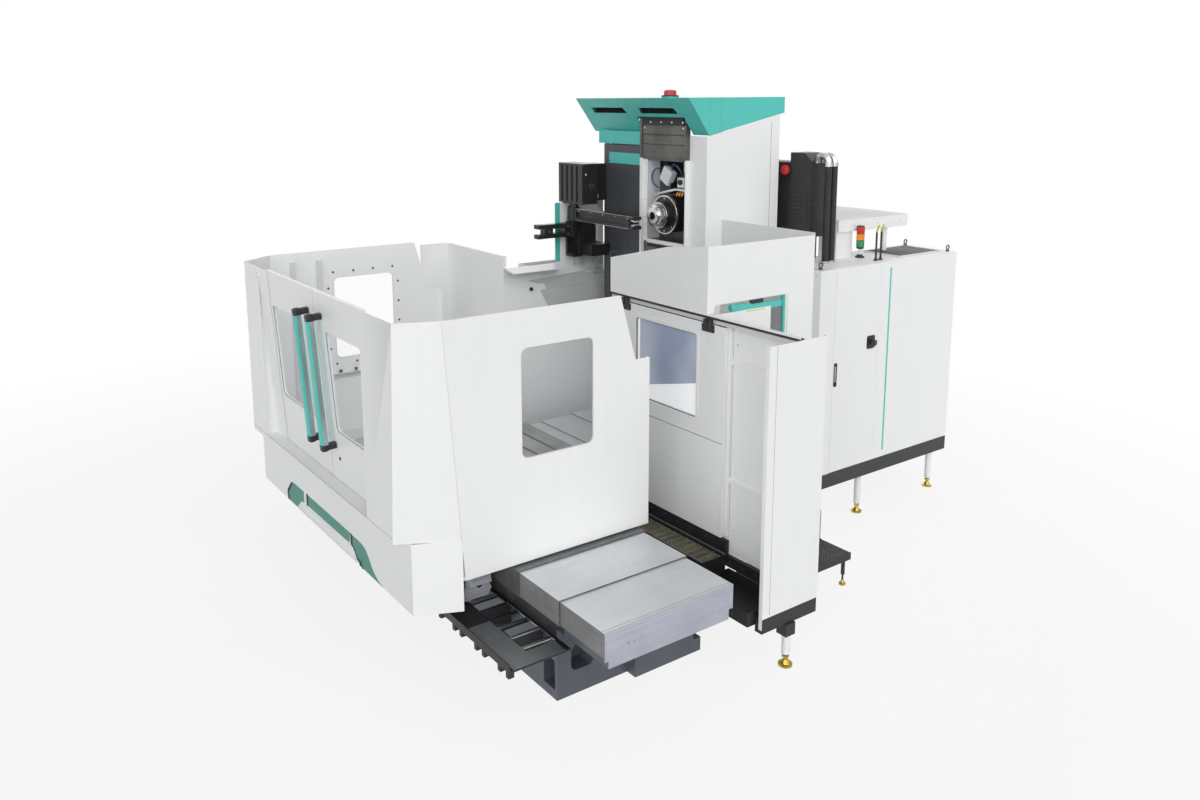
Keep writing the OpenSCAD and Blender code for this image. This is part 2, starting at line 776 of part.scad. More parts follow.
// One flat sheet between four corners, with its thickness along n
module sheet(corners, n) {
    hull() for (p = corners) {
        translate(p) cube(0.01);
        translate(p + n) cube(0.01);
    }
}

module tub_pan() color(white) difference() {
    translate([0, 0, tub_floor]) linear_extrude(20) polygon([
        [-wall_in, tub_rear], [wall_in, tub_rear], [wall_in, -skirt_end + 4],
        [wall_in - wall_t, -skirt_end + 2], [skirt_half - 4, -skirt_y + wall_t],
        [-skirt_half + 4, -skirt_y + wall_t],
        [-wall_in + wall_t, -skirt_end + 2], [-wall_in, -skirt_end + 4]]);
    translate([0, 0, tub_floor - 1]) cylinder(h = 22, r = base_r + 0.3, $fn = 128);
}

// Near edge of the right side wall at a height above the floor
function near_edge(z) = -front_rear + (tub_top - z) / (tub_top - tub_floor) * (front_rear - near_low);

// Side wall of the enclosure, drawn for the right side with its near edge
module tub_side(near) {
    color(white) difference() {
        along_x(wall_in, wall_t, concat(near, [[tub_rear - 231, tub_top],
            [tub_rear - 113, 1830], [tub_rear, 1830], [tub_rear, tub_floor]]));
        window_x(wall_in - 1, wall_t + 2, -400, 110, 1360, 2024, 45);
    }
    color(glass) window_x(wall_in + 1, wall_t - 2, -400, 110, 1360, 2024, 45);
    // Folded rear edge
    color(white) block(wall_in - 30, wall_in, tub_rear - 3, tub_rear, tub_floor + 20, 1830);
}

module tub_right_wall() tub_side([[3.3 - near_low, tub_floor], [3.3 - front_rear, tub_top]]);

module tub_left_wall() mirror([1, 0, 0]) tub_side([[3.3 - near_low, tub_floor], [3.3 - near_low, sill_z - 35],
    [3.3 - front_rear, sill_z - 35], [3.3 - front_rear, tub_top]]);

module tub_front() color(white) {
    // Left post with its corner chamfer
    block(-corner_x, left_panel + 7, -tub_front, -tub_front + wall_t, sill_z - 35, tub_top);
    translate([0, 0, sill_z - 35]) linear_extrude(tub_top - sill_z + 35) polygon([
        [-corner_x, -tub_front], [-tub_half, -front_rear], [-wall_in, -front_rear + 3],
        [-corner_x + 3, -tub_front + wall_t]]);
    // Right post, whose chamfer widens towards the floor
    along_y(-tub_front, wall_t, [[right_leaf + 245, sill_z - 35], [right_leaf + 245, tub_top], [corner_x_right, tub_top],
        [corner_x_right - 90, sill_z - 35]]);
    sheet([[corner_x_right, -tub_front, tub_top], [tub_half - 0.5, -front_rear, tub_top],
        [tub_half - 0.5, near_edge(sill_z - 35), sill_z - 35],
        [corner_x_right - 90, -tub_front, sill_z - 35]], [-5, 3, 0]);
    // Fixed panels that the doors slide behind
    door_frame(-tub_front) block(left_panel, left_leaf + 20, 0, 3, on_door(sill_z), 0);
    block(right_leaf - 20, right_leaf + 247, -tub_front, -tub_front + wall_t, sill_z - 35, tub_top);
    along_x(left_panel, 3, [[-tub_front + wall_t, tub_top - 72], [-tub_front + wall_t, sill_z],
        [-tub_front + (tub_top - sill_z) * tan(door_lean), sill_z]]);
    // Sill and skirt
    block(-corner_x, corner_x_right - 90, -tub_front, -front_rear - 20, sill_z - 35, sill_z);
    translate([0, 0, skirt_low]) linear_extrude(sill_z - 35 - skirt_low) polygon([
        [-wall_in, -skirt_end], [-skirt_half, -skirt_y], [skirt_half, -skirt_y], [wall_in, -skirt_end],
        [wall_in - wall_t, -skirt_end + 2], [skirt_half - 4, -skirt_y + wall_t],
        [-skirt_half + 4, -skirt_y + wall_t], [-wall_in + wall_t, -skirt_end + 2]]);
}

// A door leaf between x0 and x1 with a window between wx0 and wx1
module tub_leaf(x0, x1, wx0, wx1) {
    color(white) door_frame(door_y) difference() {
        block(x0, x1, 0, leaf_t, -lean_len, 0);
        window_y(-1, leaf_t + 2, wx0, wx1, on_door(1345), on_door(2005), 40);
    }
    color(glass) door_frame(door_y) window_y(4, 6, wx0, wx1, on_door(1345), on_door(2005), 40);
    color(black) for (x = [x0 + 60, x1 - 140]) {
        block(x, x + 80, shoe_y, shoe_y + 14, sill_z + 0.3, sill_z + 14);
    }
}

module left_tub_door() tub_leaf(left_leaf, door_meet - 2, left_leaf + 40, door_meet - 140);

module right_tub_door() tub_leaf(door_meet + 2, right_leaf, door_meet + 140, right_leaf - 65);

// A pull handle centred on x
module pull_handle(x) door_frame(door_y) {
    color(teal) block(x - 27, x + 27, -98, -50, on_door(1255), on_door(2090));
    color(black) for (z = [1230, 2090]) {
        block(x - 29, x + 29, -100, -48, on_door(z), on_door(z + 25));
        block(x - 14, x + 14, -48, 0, on_door(z), on_door(z + 25));
    }
}

module left_handle() pull_handle(door_meet - 125);

module right_handle() pull_handle(door_meet + 100);

// Column

module column_base() color(slate) {
    block(column_left, column_right - 3, column_front + 3, base_rear, base_z, base_top);
    on_column_bed() {
        for (y = [column_front + 150, base_rear - 150], x = [-z_rail_half, z_rail_half]) carriage(y, x, 240);
        translate([(column_front + base_rear) / 2, 0, 0]) nut_unit(260);
    }
}

module column() color(black) difference() {
    block(column_left, casting_right, column_front, column_rear, base_top, column_top);
    block(column_left + 40, casting_right - 40, column_front + 45, column_rear - 45,
        base_top + 40, column_top + 1);
    for (z = [base_top + 200 : 520 : column_top - 500]) {
        block(column_left + 120, casting_right - 120, column_rear - 60, column_rear + 1, z, z + 320);
    }
}

module column_sheet() color(white) {
    along_x(column_right - 3, 3, [[column_front, shutter_low], [column_front, cap_low - 7],
        [column_rear, cap_low + 155], [column_rear, shutter_low]]);
    block(shutter_right + 10, column_right - 3, column_front, column_front + 3, shutter_low, cap_low - 7);
    block(casting_right, column_right - 3, column_rear - 3, column_rear, base_top, cap_low);
}

module column_cap() color(teal) {
    difference() {
        along_x(cap_left, column_right - cap_left, [[cap_front, cap_top], [cap_back, cap_top + 10],
            [cap_back, cap_low + 168], [column_front + 20, cap_low]]);
        along_x(cap_left + cap_t, column_right - cap_left - 2 * cap_t, [[cap_front + 12, cap_top - cap_t],
            [cap_back - cap_t, cap_top + 10 - cap_t], [cap_back - cap_t, cap_low - 60],
            [column_front + 84, cap_low - 60]]);
        block(casting_right - 1, shutter_right + 25, cap_front - 6, column_front + 60, cap_low - 55, cap_cut);
        for (x = [column_left - 7, casting_right + 85]) along_y(cap_front - 6, 160, [[x, cap_top - 122], [x, cap_top - 78],
            [x + 440, cap_top - 78], [x + 462, cap_top - 122]]);
    }
    // Front lip below the slanted face, and the stays on the casting
    lip = column_left - 60;
    block(lip, casting_right - 5, column_front - 12, column_front - 2, column_top + 7, cap_low + 12);
    block(lip, lip + 6, column_front - 2, column_rear, column_top + 7, cap_low + 12);
    for (x = [column_left + 5, casting_right - 35], y = [column_front + 5, column_rear - 35]) {
        block(x, x + 30, y, y + 30, column_top, cap_top - 2);
    }
    block(lip, column_left + 10, column_front - 2, column_front + 30, column_top + 7, cap_low + 12);
    // Beacon
    color(black) translate([-5, column_front, cap_top]) cylinder(h = 18, r = 70);
    color("red") translate([-5, column_front, cap_top + 18]) cylinder(h = 36, r = 48);
}

module shutter_plate(x0, x1, layer, z0, z1) {
    y = shutter_y0 + layer * shutter_step;
    block(x0, x1, y, y + shutter_t, z0, z1);
}

// Side channels, with the two shutters that stay on the column
module shutter_guides() color(slate) {
    left = shutter_left - 0.3;
    right = shutter_right + 0.3;
    block(casting_right, left, shutter_y0 - 8, column_front + 3, shutter_low, upper_end);
    block(casting_right, left, column_front + 2, column_front + 30, base_top, upper_end);
    block(right, shutter_right + 10, shutter_y0 - 8, column_front + 3, shutter_low, upper_end);
    shutter_plate(left, right, 0, upper_end - shutter_len, upper_end);
    shutter_plate(left, right, 0, shutter_low, shutter_low + shutter_len);
    block(casting_right, shutter_right + 10, shutter_y0 - 8, column_front + 3, upper_end, upper_end + 12);
    // Perforated strip above the opening
    block(left + 15, right - 15, shutter_y0 - 20, shutter_y0, upper_end - 116, upper_end - 56);
}

module column_guides() color(steel) {
    for (y = [rail_y1, rail_y2]) {
        block(casting_right, casting_right + 45, y - 22, y + 22, base_top + 40, column_top - 10);
    }
    translate([y_screw_x, y_screw_y, base_top + 20]) cylinder(h = column_top - base_top - 40, r = y_screw_r);
    for (z = [base_top, column_top - 60]) {
        block(casting_right, casting_right + 57, y_screw_y - 50, y_screw_y + 50, z, z + 60);
    }
}

module z_cover_near() color(steel) on_column_bed() {
    way_cover(column_front - z_front_len, z_front_len + 3, 3, z_cover_half, -1);
    way_cover(base_rear, z_rear_len, 2, z_cover_half, 1);
}

module z_cover_front_1() color(steel) on_column_bed() {
    way_cover(z_front_start + z_front_show, z_front_len, 1, z_cover_half, -1);
}

module z_cover_front_2() color(steel) on_column_bed() {
    way_cover(z_front_start + 2 * z_front_show, z_front_len, 2, z_cover_half, -1);
}

module z_cover_rear_1() color(steel) on_column_bed() {
    way_cover(z_bed_end - z_rear_len - z_rear_show, z_rear_len, 1, z_cover_half, 1);
}

// Tool changer

module changer_body() color(black) {
    difference() {
        block(post_x - 115, motor_end, motor_y, motor_y + 165, arm_high + 40, motor_top);
        for (x = [post_x - 75 : 75 : motor_end - 60]) {
            block(x, x + 26, motor_y - 1, motor_y + 12, arm_high + 60, motor_top - 20);
        }
    }
    block(post_x - 55, column_left + 30, motor_y + 165, column_front, arm_high + 55, motor_top - 10);
    difference() {
        block(post_x - 55, post_x + 55, post_y - 55, post_y + 55, arm_low - 315, arm_low - 6);
        block(post_x - 30, post_x + 56, post_y - 56, post_y + 15, arm_low - 285, arm_low - 145);
    }
    block(post_x - 55, column_left + 90, post_y + 55, column_front, arm_low - 305, arm_low - 205);
    translate([post_x, post_y, arm_low - 7]) cylinder(h = arm_high - arm_low + 50, r = 40);
    // Waiting fork
    fork_y = post_y - 395;
    fork_z = arm_low - 135;
    difference() {
        block(post_x - 35, post_x + 35, fork_y, post_y - 55, fork_z, fork_z + 120);
        block(post_x - 36, post_x + 36, fork_y - 1, fork_y + 60, fork_z + 35, fork_z + 85);
        block(post_x - 36, post_x + 36, fork_y + 150, fork_y + 270, fork_z + 40, fork_z + 80);
    }
}

module changer_arm() color(black) difference() {
    union() {
        translate([post_x, post_y, arm_low]) cylinder(h = arm_high - arm_low, r = 62);
        block(post_x, arm_tip, post_y - 45, post_y + 45, arm_low + 8, arm_high - 8);
    }
    translate([post_x, post_y, arm_low - 1]) cylinder(h = 200, r = 40 + shaft_gap);
    block(arm_tip - 55, arm_tip + 1, post_y - 46, post_y + 46, arm_low + 35, arm_high - 35);
    block(post_x + 90, arm_tip - 100, post_y - 46, post_y - 25, arm_low + 35, arm_high - 35);
}

// Headstock

module head_carriage(y, z0, z1) {
    difference() {
        block(casting_right + 10, head_left, y - 60, y + 60, z0, z1);
        block(casting_right - 1, casting_right + 45 + run_gap, y - 22 - run_gap, y + 22 + run_gap,
            z0 - 1, z1 + 1);
    }
}

module headstock() color(slate) {
    difference() {
        block(head_left, head_right, head_front, head_rear, head_low, head_high);
        rod_y(0, head_front - 1, spindle_z, head_rear, sleeve_r + shaft_gap);
        for (s = [-1, 1]) block(s > 0 ? 130 : head_left - 1, s > 0 ? head_right + 1 : -235,
            head_front + 120, head_rear - 120, head_low + 60, head_low + 160);
    }
    for (y = [rail_y1, rail_y2]) {
        head_carriage(y, head_low + 10, head_low + 190);
        head_carriage(y, head_high - 190, head_high - 10);
    }
    difference() {
        block(casting_right + 6, head_left, y_screw_y - 60, y_screw_y + 60, spindle_z, spindle_z + 120);
        translate([y_screw_x, y_screw_y, spindle_z - 1]) cylinder(h = 122, r = y_screw_r + run_gap);
    }
}

module spindle_motor() color(black) {
    block(-90, 150, head_rear - 260, head_rear - 20, head_high, head_high + 30);
    difference() {
        translate([30, head_rear - 140, head_high + 30]) cylinder(h = 220, r = 105);
        for (a = [0 : 15 : 345]) translate([30, head_rear - 140, head_high + 60]) rotate(a)
            block(96, 110, -4, 4, 0, 150);
    }
    translate([30, head_rear - 140, head_high + 250]) cylinder(h = 40, r = 95);
}

module spindle_housing() color(black) {
    difference() {
        rod_y(0, ring_rear + 0.5, spindle_z, head_front - ring_rear - 0.5, head_bearing_r);
        rod_y(0, ring_rear, spindle_z, 400, sleeve_r + shaft_gap);
    }
    // Coolant block above the spindle
    block(-150, -20, head_front - 90, head_front, spindle_z + 165, spindle_z + 265);
}

// Frame round the spindle, with the shutters that travel with the headstock
module headstock_shutter() color(slate) {
    difference() {
        shutter_plate(shutter_left, shutter_right, 3, head_low - shutter_len, head_open + shutter_len);
        block(head_left + 10, head_right - 10, shutter_y0, column_front, head_low + 10, head_open);
    }
    difference() {
        block(head_left, head_right, shutter_y3 + shutter_t, head_front, head_low, head_open + 10);
        block(head_left + 10, head_right - 10, shutter_y3, head_front + 1, head_low + 10, head_open);
    }
}

module milling_sleeve() color(steel) difference() {
    union() {
        rod_y(0, ring_rear - 24, spindle_z, 24, ring_r);
        rod_y(0, nose_y + 66, spindle_z, ring_rear - nose_y - 66, 105);
        rod_y(0, ring_rear, spindle_z, head_rear - ring_rear - 8, sleeve_r);
    }
    rod_y(0, nose_y, spindle_z, 1200, bar_r + shaft_gap);
    for (a = [0 : 45 : 315]) translate([0, ring_rear - 25, spindle_z]) rotate([0, a, 0])
        rod_y(132, 0, 0, 12, 9);
}

module boring_bar() color(steel) difference() {
    union() {
        rod_y(0, nose_y, spindle_z, head_rear - nose_y, bar_r);
        rod_y(0, nose_y + 16, spindle_z, 45, 90);
    }
    rod_y(0, nose_y - 1, spindle_z, 111, taper_r);
    for (s = [-1, 1]) block(s > 0 ? 42 : -62, s > 0 ? 62 : -42, nose_y - 1, nose_y + 12,
        spindle_z - 12, spindle_z + 12);
}

// Shutters between the column and the headstock

module upper_shutter(k) color(slate) {
    z0 = head_open + (3 - k) * shutter_gap;
    shutter_plate(shutter_left, shutter_right, k, z0, z0 + shutter_len);
}

module lower_shutter(k) color(slate) {
    z0 = shutter_low + k * lower_show;
    shutter_plate(shutter_left, shutter_right, k, z0, z0 + shutter_len);
}

module upper_shutter_1() upper_shutter(1);
module upper_shutter_2() upper_shutter(2);
module lower_shutter_1() lower_shutter(1);
module lower_shutter_2() lower_shutter(2);

// Guard door

module guard_door() {
    y0 = guard_y + 2;
    y1 = guard_y + 30;
    z1 = guard_rail_z - 45;
    color(white) difference() {
        block(560, 1670, y0, y1, door_low, z1);
        window_y(y0 - 1, 30, 765, 1407, 1345, 1915, 20);
    }
    color(glass) window_y(y0 + 12, 6, 765, 1407, 1345, 1915, 20);
    color(black) for (x = [610, 1480]) {
        block(x, x + 70, y0 + 2, guard_y + 11.7, z1, guard_rail_z - 12.3);
        block(x, x + 70, guard_y + 16.3, guard_y + 28, z1, guard_rail_z - 12.3);
    }
}

x_bed();
z_bed();
bed_rails();
feed_screws();
fixed_covers();
levelling_legs();
left_guard();
right_guard();
guard_frame();
upper_box();
side_console();
chip_conveyor();
chip_belt();
cable_tray();
cable_chain();
cabinet();
hood_unit();
rear_unit();
signal_tower();
step_platform();
tool_magazine();
saddle();
rotary_base();
x_cover_near();
tub_pan();
tub_left_wall();
tub_right_wall();
tub_front();
table();
left_tub_door();
left_handle();
right_tub_door();
right_handle();
x_cover_mid_right();
x_cover_mid_left();
column_base();
column();
column_sheet();
column_cap();
shutter_guides();
column_guides();
z_cover_near();
changer_body();
changer_arm();
headstock();
spindle_motor();
spindle_housing();
headstock_shutter();
milling_sleeve();
boring_bar();
upper_shutter_1();
upper_shutter_2();
lower_shutter_1();
lower_shutter_2();
z_cover_front_1();
z_cover_front_2();
z_cover_rear_1();
guard_door();
left_cabinet_door();
right_cabinet_door();
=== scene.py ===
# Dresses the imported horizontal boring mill: paint, steel, glass, fasteners and fittings
import json
import math
from types import SimpleNamespace
import bmesh
import bpy
from mathutils import Matrix, Vector


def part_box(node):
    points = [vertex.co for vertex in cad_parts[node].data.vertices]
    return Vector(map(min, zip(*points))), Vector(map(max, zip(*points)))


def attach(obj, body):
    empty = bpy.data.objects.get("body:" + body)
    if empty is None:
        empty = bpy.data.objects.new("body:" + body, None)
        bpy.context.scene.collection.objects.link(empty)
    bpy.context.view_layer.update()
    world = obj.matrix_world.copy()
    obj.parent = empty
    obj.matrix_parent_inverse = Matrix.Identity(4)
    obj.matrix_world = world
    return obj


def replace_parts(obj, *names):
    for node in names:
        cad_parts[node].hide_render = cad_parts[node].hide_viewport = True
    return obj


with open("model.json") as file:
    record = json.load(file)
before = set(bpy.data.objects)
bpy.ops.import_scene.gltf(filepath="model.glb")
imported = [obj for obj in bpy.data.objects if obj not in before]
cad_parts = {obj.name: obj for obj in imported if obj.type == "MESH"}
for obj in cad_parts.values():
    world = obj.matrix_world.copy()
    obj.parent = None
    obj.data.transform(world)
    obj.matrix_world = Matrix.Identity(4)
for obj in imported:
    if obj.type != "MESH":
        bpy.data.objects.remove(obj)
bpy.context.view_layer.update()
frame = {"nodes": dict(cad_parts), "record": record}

scene = bpy.context.scene
scene.view_settings.view_transform = "Standard"
mm = 0.001

cameraValues = {
    "place": (6.102, -3.257, 3.411),  # metres, in the machine's frame
    "heading": 143.83,  # degrees, where 90 looks along +Y
    "downward": 10.0,  # degrees
    "lens": 29.56,  # millimetres on a 36 mm sensor
    "shift": -0.1038,
    "clip": (0.05, 200),  # nearest and furthest distance shown, in metres
}
cameraData = bpy.data.cameras.new("studioCamera")
cameraData.sensor_width = 36
cameraData.lens = cameraValues["lens"]
cameraData.shift_y = cameraValues["shift"]
cameraData.clip_start, cameraData.clip_end = cameraValues["clip"]
camera = bpy.data.objects.new("studioCamera", cameraData)
camera.location = cameraValues["place"]
camera.rotation_euler = (math.radians(90 - cameraValues["downward"]), 0,
                         math.radians(cameraValues["heading"] - 90))
scene.collection.objects.link(camera)
scene.camera = camera


def colour(code):
    # sRGB hex to linear
    parts = [int(code[i:i + 2], 16) / 255 for i in (1, 3, 5)]
    return [p / 12.92 if p <= 0.04045 else ((p + 0.055) / 1.055) ** 2.4 for p in parts] + [1.0]


def add(tree, kind, inputs=None, stops=(), **settings):
    # Adds a node with its settings, a ramp's two stops, plain values and links
    node = tree.nodes.new(kind)
    for key, value in settings.items():
        setattr(node, key, value)
    if stops:
        for element, (place, code) in zip(node.color_ramp.elements, stops):
            element.position, element.color = place, colour(code)
    for key, value in (inputs or {}).items():
        if isinstance(value, bpy.types.NodeSocket):
            tree.links.new(value, node.inputs[key])
        else:
            node.inputs[key].default_value = value
    return node


finishes = {}  # the materials, by name


def newFinish(name):
    # An empty material, and the object coordinates that its patterns read
    finishes[name] = bpy.data.materials.new(name)
    finishes[name].use_nodes = True
    tree = finishes[name].node_tree
    tree.nodes.clear()
    return tree, add(tree, "ShaderNodeTexCoord").outputs["Object"]


def paintFinish(name, base, shade, roughness, peel, peelDepth, clouds=0.45, metallic=0.0):
    # peel is the size of the skin's dimples in mm, clouds the size of its soft stains in m
    tree, place = newFinish(name)
    cloud = add(tree, "ShaderNodeTexNoise", {"Vector": place, "Scale": 1 / clouds, "Detail": 5.0,
                                             "Roughness": 0.62}).outputs["Fac"]
    streaks = add(tree, "ShaderNodeMapping", {"Vector": place, "Scale": (9, 9, 0.9)})
    streak = add(tree, "ShaderNodeTexNoise", {"Vector": streaks.outputs[0], "Scale": 2.0,
                                              "Detail": 3.0})
    both = add(tree, "ShaderNodeMath", {0: cloud, 1: streak.outputs["Fac"]}, operation="MULTIPLY")
    tint = add(tree, "ShaderNodeValToRGB", {"Fac": both.outputs[0]}, ((0.06, shade), (0.22, base)))
    gloss = add(tree, "ShaderNodeMapRange", {
        "Value": cloud, "From Min": 0.3, "From Max": 0.7,
        "To Min": roughness - 0.06, "To Max": roughness + 0.08})
    skin = add(tree, "ShaderNodeTexNoise", {"Vector": place, "Scale": 1000 / peel, "Detail": 2.0})
    bump = add(tree, "ShaderNodeBump", {"Height": skin.outputs["Fac"], "Strength": 0.35,
                                        "Distance": peelDepth * mm})
    shader = add(tree, "ShaderNodeBsdfPrincipled", {
        "Base Color": tint.outputs["Color"], "Roughness": gloss.outputs[0], "Metallic": metallic,
        "Normal": bump.outputs[0]})
    add(tree, "ShaderNodeOutputMaterial", {"Surface": shader.outputs[0]})


def steelFinish(name, base, shade, roughness, grain, along, metallic=1.0, clouds=0.35):
    # grain is the pitch of the grinding lines in mm, along the axis that they run
    tree, place = newFinish(name)
    stretch = [1000 / grain] * 3
    stretch["xyz".index(along)] = 1000 / grain / 60
    lines = add(tree, "ShaderNodeMapping", {"Vector": place, "Scale": stretch})
    line = add(tree, "ShaderNodeTexNoise", {"Vector": lines.outputs[0], "Scale": 1.0, "Detail": 2.0,
                                            "Roughness": 0.6}).outputs["Fac"]
    cloud = add(tree, "ShaderNodeTexNoise", {"Vector": place, "Scale": 1 / clouds, "Detail": 6.0,
                                             "Roughness": 0.6}).outputs["Fac"]
    mixed = add(tree, "ShaderNodeMix", {0: 0.35, 2: cloud, 3: line}).outputs[0]
    tint = add(tree, "ShaderNodeValToRGB", {"Fac": mixed}, ((0.36, shade), (0.62, base)))
    gloss = add(tree, "ShaderNodeMapRange", {
        "Value": mixed, "From Min": 0.35, "From Max": 0.65,
        "To Min": roughness + 0.1, "To Max": roughness - 0.06})
    bump = add(tree, "ShaderNodeBump", {"Height": line, "Strength": 0.4, "Distance": 0.05 * mm})
    shader = add(tree, "ShaderNodeBsdfPrincipled", {
        "Base Color": tint.outputs["Color"], "Roughness": gloss.outputs[0], "Metallic": metallic,
        "Normal": bump.outputs[0]})
    add(tree, "ShaderNodeOutputMaterial", {"Surface": shader.outputs[0]})


def mouldedFinish(name, base, shade, roughness, grain, depth, glow=0.0):
    # Moulded plastic or rubber with an even spark-eroded grain, its size in mm; glow makes it shine
    # by itself, which is painted light
    tree, place = newFinish(name)
    spots = add(tree, "ShaderNodeTexVoronoi", {"Vector": place, "Scale": 1000 / grain})
    cloud = add(tree, "ShaderNodeTexNoise", {"Vector": place, "Scale": 7.0, "Detail": 3.0})
    tint = add(tree, "ShaderNodeValToRGB", {"Fac": cloud.outputs["Fac"]},
               ((0.35, shade), (0.65, base)))
    bump = add(tree, "ShaderNodeBump", {"Height": spots.outputs["Distance"], "Strength": 0.3,
                                        "Distance": depth * mm})
    shader = add(tree, "ShaderNodeBsdfPrincipled", {
        "Base Color": tint.outputs["Color"], "Roughness": roughness, "Normal": bump.outputs[0],
        "Emission Color": colour(base), "Emission Strength": glow})
    add(tree, "ShaderNodeOutputMaterial", {"Surface": shader.outputs[0]})


def glassFinish(name, tintCode, alpha):
    # Laminated safety pane: clear, with a faint tint and its own reflections
    tree, place = newFinish(name)
    cloud = add(tree, "ShaderNodeTexNoise", {"Vector": place, "Scale": 1.3,
                                             "Detail": 2.0}).outputs["Fac"]
    tint = add(tree, "ShaderNodeValToRGB", {"Fac": cloud}, ((0.3, tintCode), (0.7, "#F2F6FA")))
    smear = add(tree, "ShaderNodeMapRange", {"Value": cloud, "To Min": 0.02, "To Max": 0.08})
    shader = add(tree, "ShaderNodeBsdfPrincipled", {
        "Base Color": tint.outputs["Color"], "Roughness": smear.outputs[0], "IOR": 1.5,
        "Alpha": alpha})
    add(tree, "ShaderNodeOutputMaterial", {"Surface": shader.outputs[0]})


# Powder-coated steel sheet: a bright, faintly dimpled satin skin with the softest staining
paintFinish("whitePowderCoat", "#EEEFEF", "#EBECEC", 0.42, 5, 0.10, clouds=0.9)
# The same coat a little greyer, on the inside of hoods and pans, handled more; on the hood's top
# and lid and on the deflector's underside it is painted shade
paintFinish("greyWhitePowderCoat", "#D6D7D8", "#D1D2D3", 0.5, 5, 0.10, clouds=0.7)
# Teal powder coat of the accent sheets, and the deeper one sunk into the skirt
paintFinish("tealPowderCoat", "#54C3B9", "#4DB9AF", 0.42, 5, 0.10, clouds=0.7)
paintFinish("deepTealPowderCoat", "#43897A", "#3C7F70", 0.5, 5, 0.10, clouds=0.5)
# Rolled two-part machine enamel on cast iron: slate grey, with the casting's slight waviness
paintFinish("slateEnamel", "#545961", "#4A4F57", 0.45, 22, 0.6, clouds=0.3)
# The slate enamel below the covers, made near black as painted shade
paintFinish("sootedCasting", "#26272A", "#1C1D1F", 0.6, 20, 0.5, clouds=0.3)
# Charcoal enamel on the column and headstock castings
paintFinish("charcoalEnamel", "#43464B", "#383B3F", 0.42, 20, 0.5, clouds=0.35)
# Dark enamel on the cabinet's plinth, made near black as painted shade
paintFinish("graphiteEnamel", "#26292C", "#1F2124", 0.45, 20, 0.5, clouds=0.35)
# Fine-textured black powder coat on frames and brackets
paintFinish("blackPowderCoat", "#1B1C1E", "#141516", 0.5, 4, 0.15, clouds=0.25)
# Blued black steel of the changer's moving parts, a little oily
paintFinish("oiledBlackSteel", "#2B2B2A", "#1D1D1D", 0.34, 9, 0.12, clouds=0.12, metallic=0.35)
# Cold-rolled cover sheet, brushed across the travel: pale grey with cloudy wipe marks
steelFinish("brushedCoverSheet", "#DFE1E2", "#CBCED0", 0.44, 6, "y", metallic=0.6, clouds=0.5)
# The same sheet in a darker copy for the sides, painted shade, and a bluish copy for the ends,
# painted reflection
steelFinish("dullCoverSheet", "#8F8F8F", "#7B7B7B", 0.5, 8, "x", metallic=0.4, clouds=0.25)
steelFinish("endCoverSheet", "#B6B9C4", "#A2A5B0", 0.48, 8, "y", metallic=0.35, clouds=0.25)
# Edges and wiper strips of the covers, also laid on the near cover's sides as painted shade
steelFinish("darkWiperSteel", "#6E6F70", "#4A4B4C", 0.45, 5, "y", metallic=0.6, clouds=0.2)
# Ground shafts and rings, bright, with turning lines
steelFinish("groundShaftSteel", "#DADAD8", "#A9A8A5", 0.24, 3, "z", clouds=0.1)
# Hardened guide rails, ground lengthwise
steelFinish("groundRailSteel", "#C9CACB", "#9C9D9F", 0.26, 3, "x", clouds=0.2)
# Grey-brown shutter sheet with lengthwise roll marks
steelFinish("rolledShutterSheet", "#6B6A67", "#545351", 0.46, 8, "x", metallic=0.55, clouds=0.2)
# Milled cast iron of the table face, with its tool paths
steelFinish("milledTableIron", "#A5A5A4", "#7C7C7B", 0.36, 9, "x", metallic=0.8, clouds=0.25)
# Galvanised sheet of trays and ladders
steelFinish("galvanisedSheet", "#7F8283", "#6B6E6F", 0.5, 12, "x", metallic=0.5, clouds=0.2)
# Duller galvanised splash sheet inside the guard, and a spangled, brighter one beside it
steelFinish("dullGalvanisedSheet", "#CBCCCC", "#B9BABA", 0.6, 12, "y", metallic=0.0, clouds=0.4)
steelFinish("mottledSheet", "#F0F1F1", "#A3A4A4", 0.45, 30, "y", metallic=0.1, clouds=0.09)
# Olive, chip-stained links of the conveyor belt
steelFinish("stainedBeltSteel", "#949178", "#5E5C4E", 0.5, 7, "y", metallic=0.45, clouds=0.09)
# Yellow-passivated steel of the levelling pads
steelFinish("passivatedSteel", "#D2BC62", "#8C7A34", 0.3, 5, "z", clouds=0.05)
# Clear-anodised aluminium of the handle cores
steelFinish("anodisedAluminium", "#CBCED0", "#A6A9AB", 0.34, 4, "z", clouds=0.2)
# Glass-filled nylon of end caps, lids and hangers
mouldedFinish("blackNylon", "#242527", "#1A1B1C", 0.48, 4, 0.15)
# Nitrile wiper lips, hoses and sunk recesses
mouldedFinish("blackRubber", "#1C1C1D", "#141414", 0.66, 4, 0.1)
mouldedFinish("greyNylon", "#50555C", "#42464D", 0.5, 5, 0.2)  # small grey fittings
mouldedFinish("lilacNylon", "#B3B4C6", "#9C9EB2", 0.42, 5, 0.2)  # snap-in bars of the carrier
mouldedFinish("paleNylon", "#C2C4C9", "#AEB0B6", 0.46, 5, 0.2)  # links of the cable carrier
mouldedFinish("whiteNylon", "#E6E7E8", "#D4D6D8", 0.4, 5, 0.1)  # housings of the small fittings
mouldedFinish("redAcetal", "#D8373A", "#B3262B", 0.3, 6, 0.1)  # lamp lenses and knobs
mouldedFinish("orangeLens", "#F0982A", "#D97F18", 0.25, 6, 0.1)
mouldedFinish("greenLens", "#2E9A63", "#1F7F4E", 0.25, 6, 0.1)
mouldedFinish("yellowSleeve", "#E6E06A", "#C9C24C", 0.4, 6, 0.1)
mouldedFinish("bluePolyurethane", "#2C5A8C", "#1E4470", 0.3, 6, 0.1)  # air hoses
glassFinish("clearPane", "#EEF2F5", 0.05)
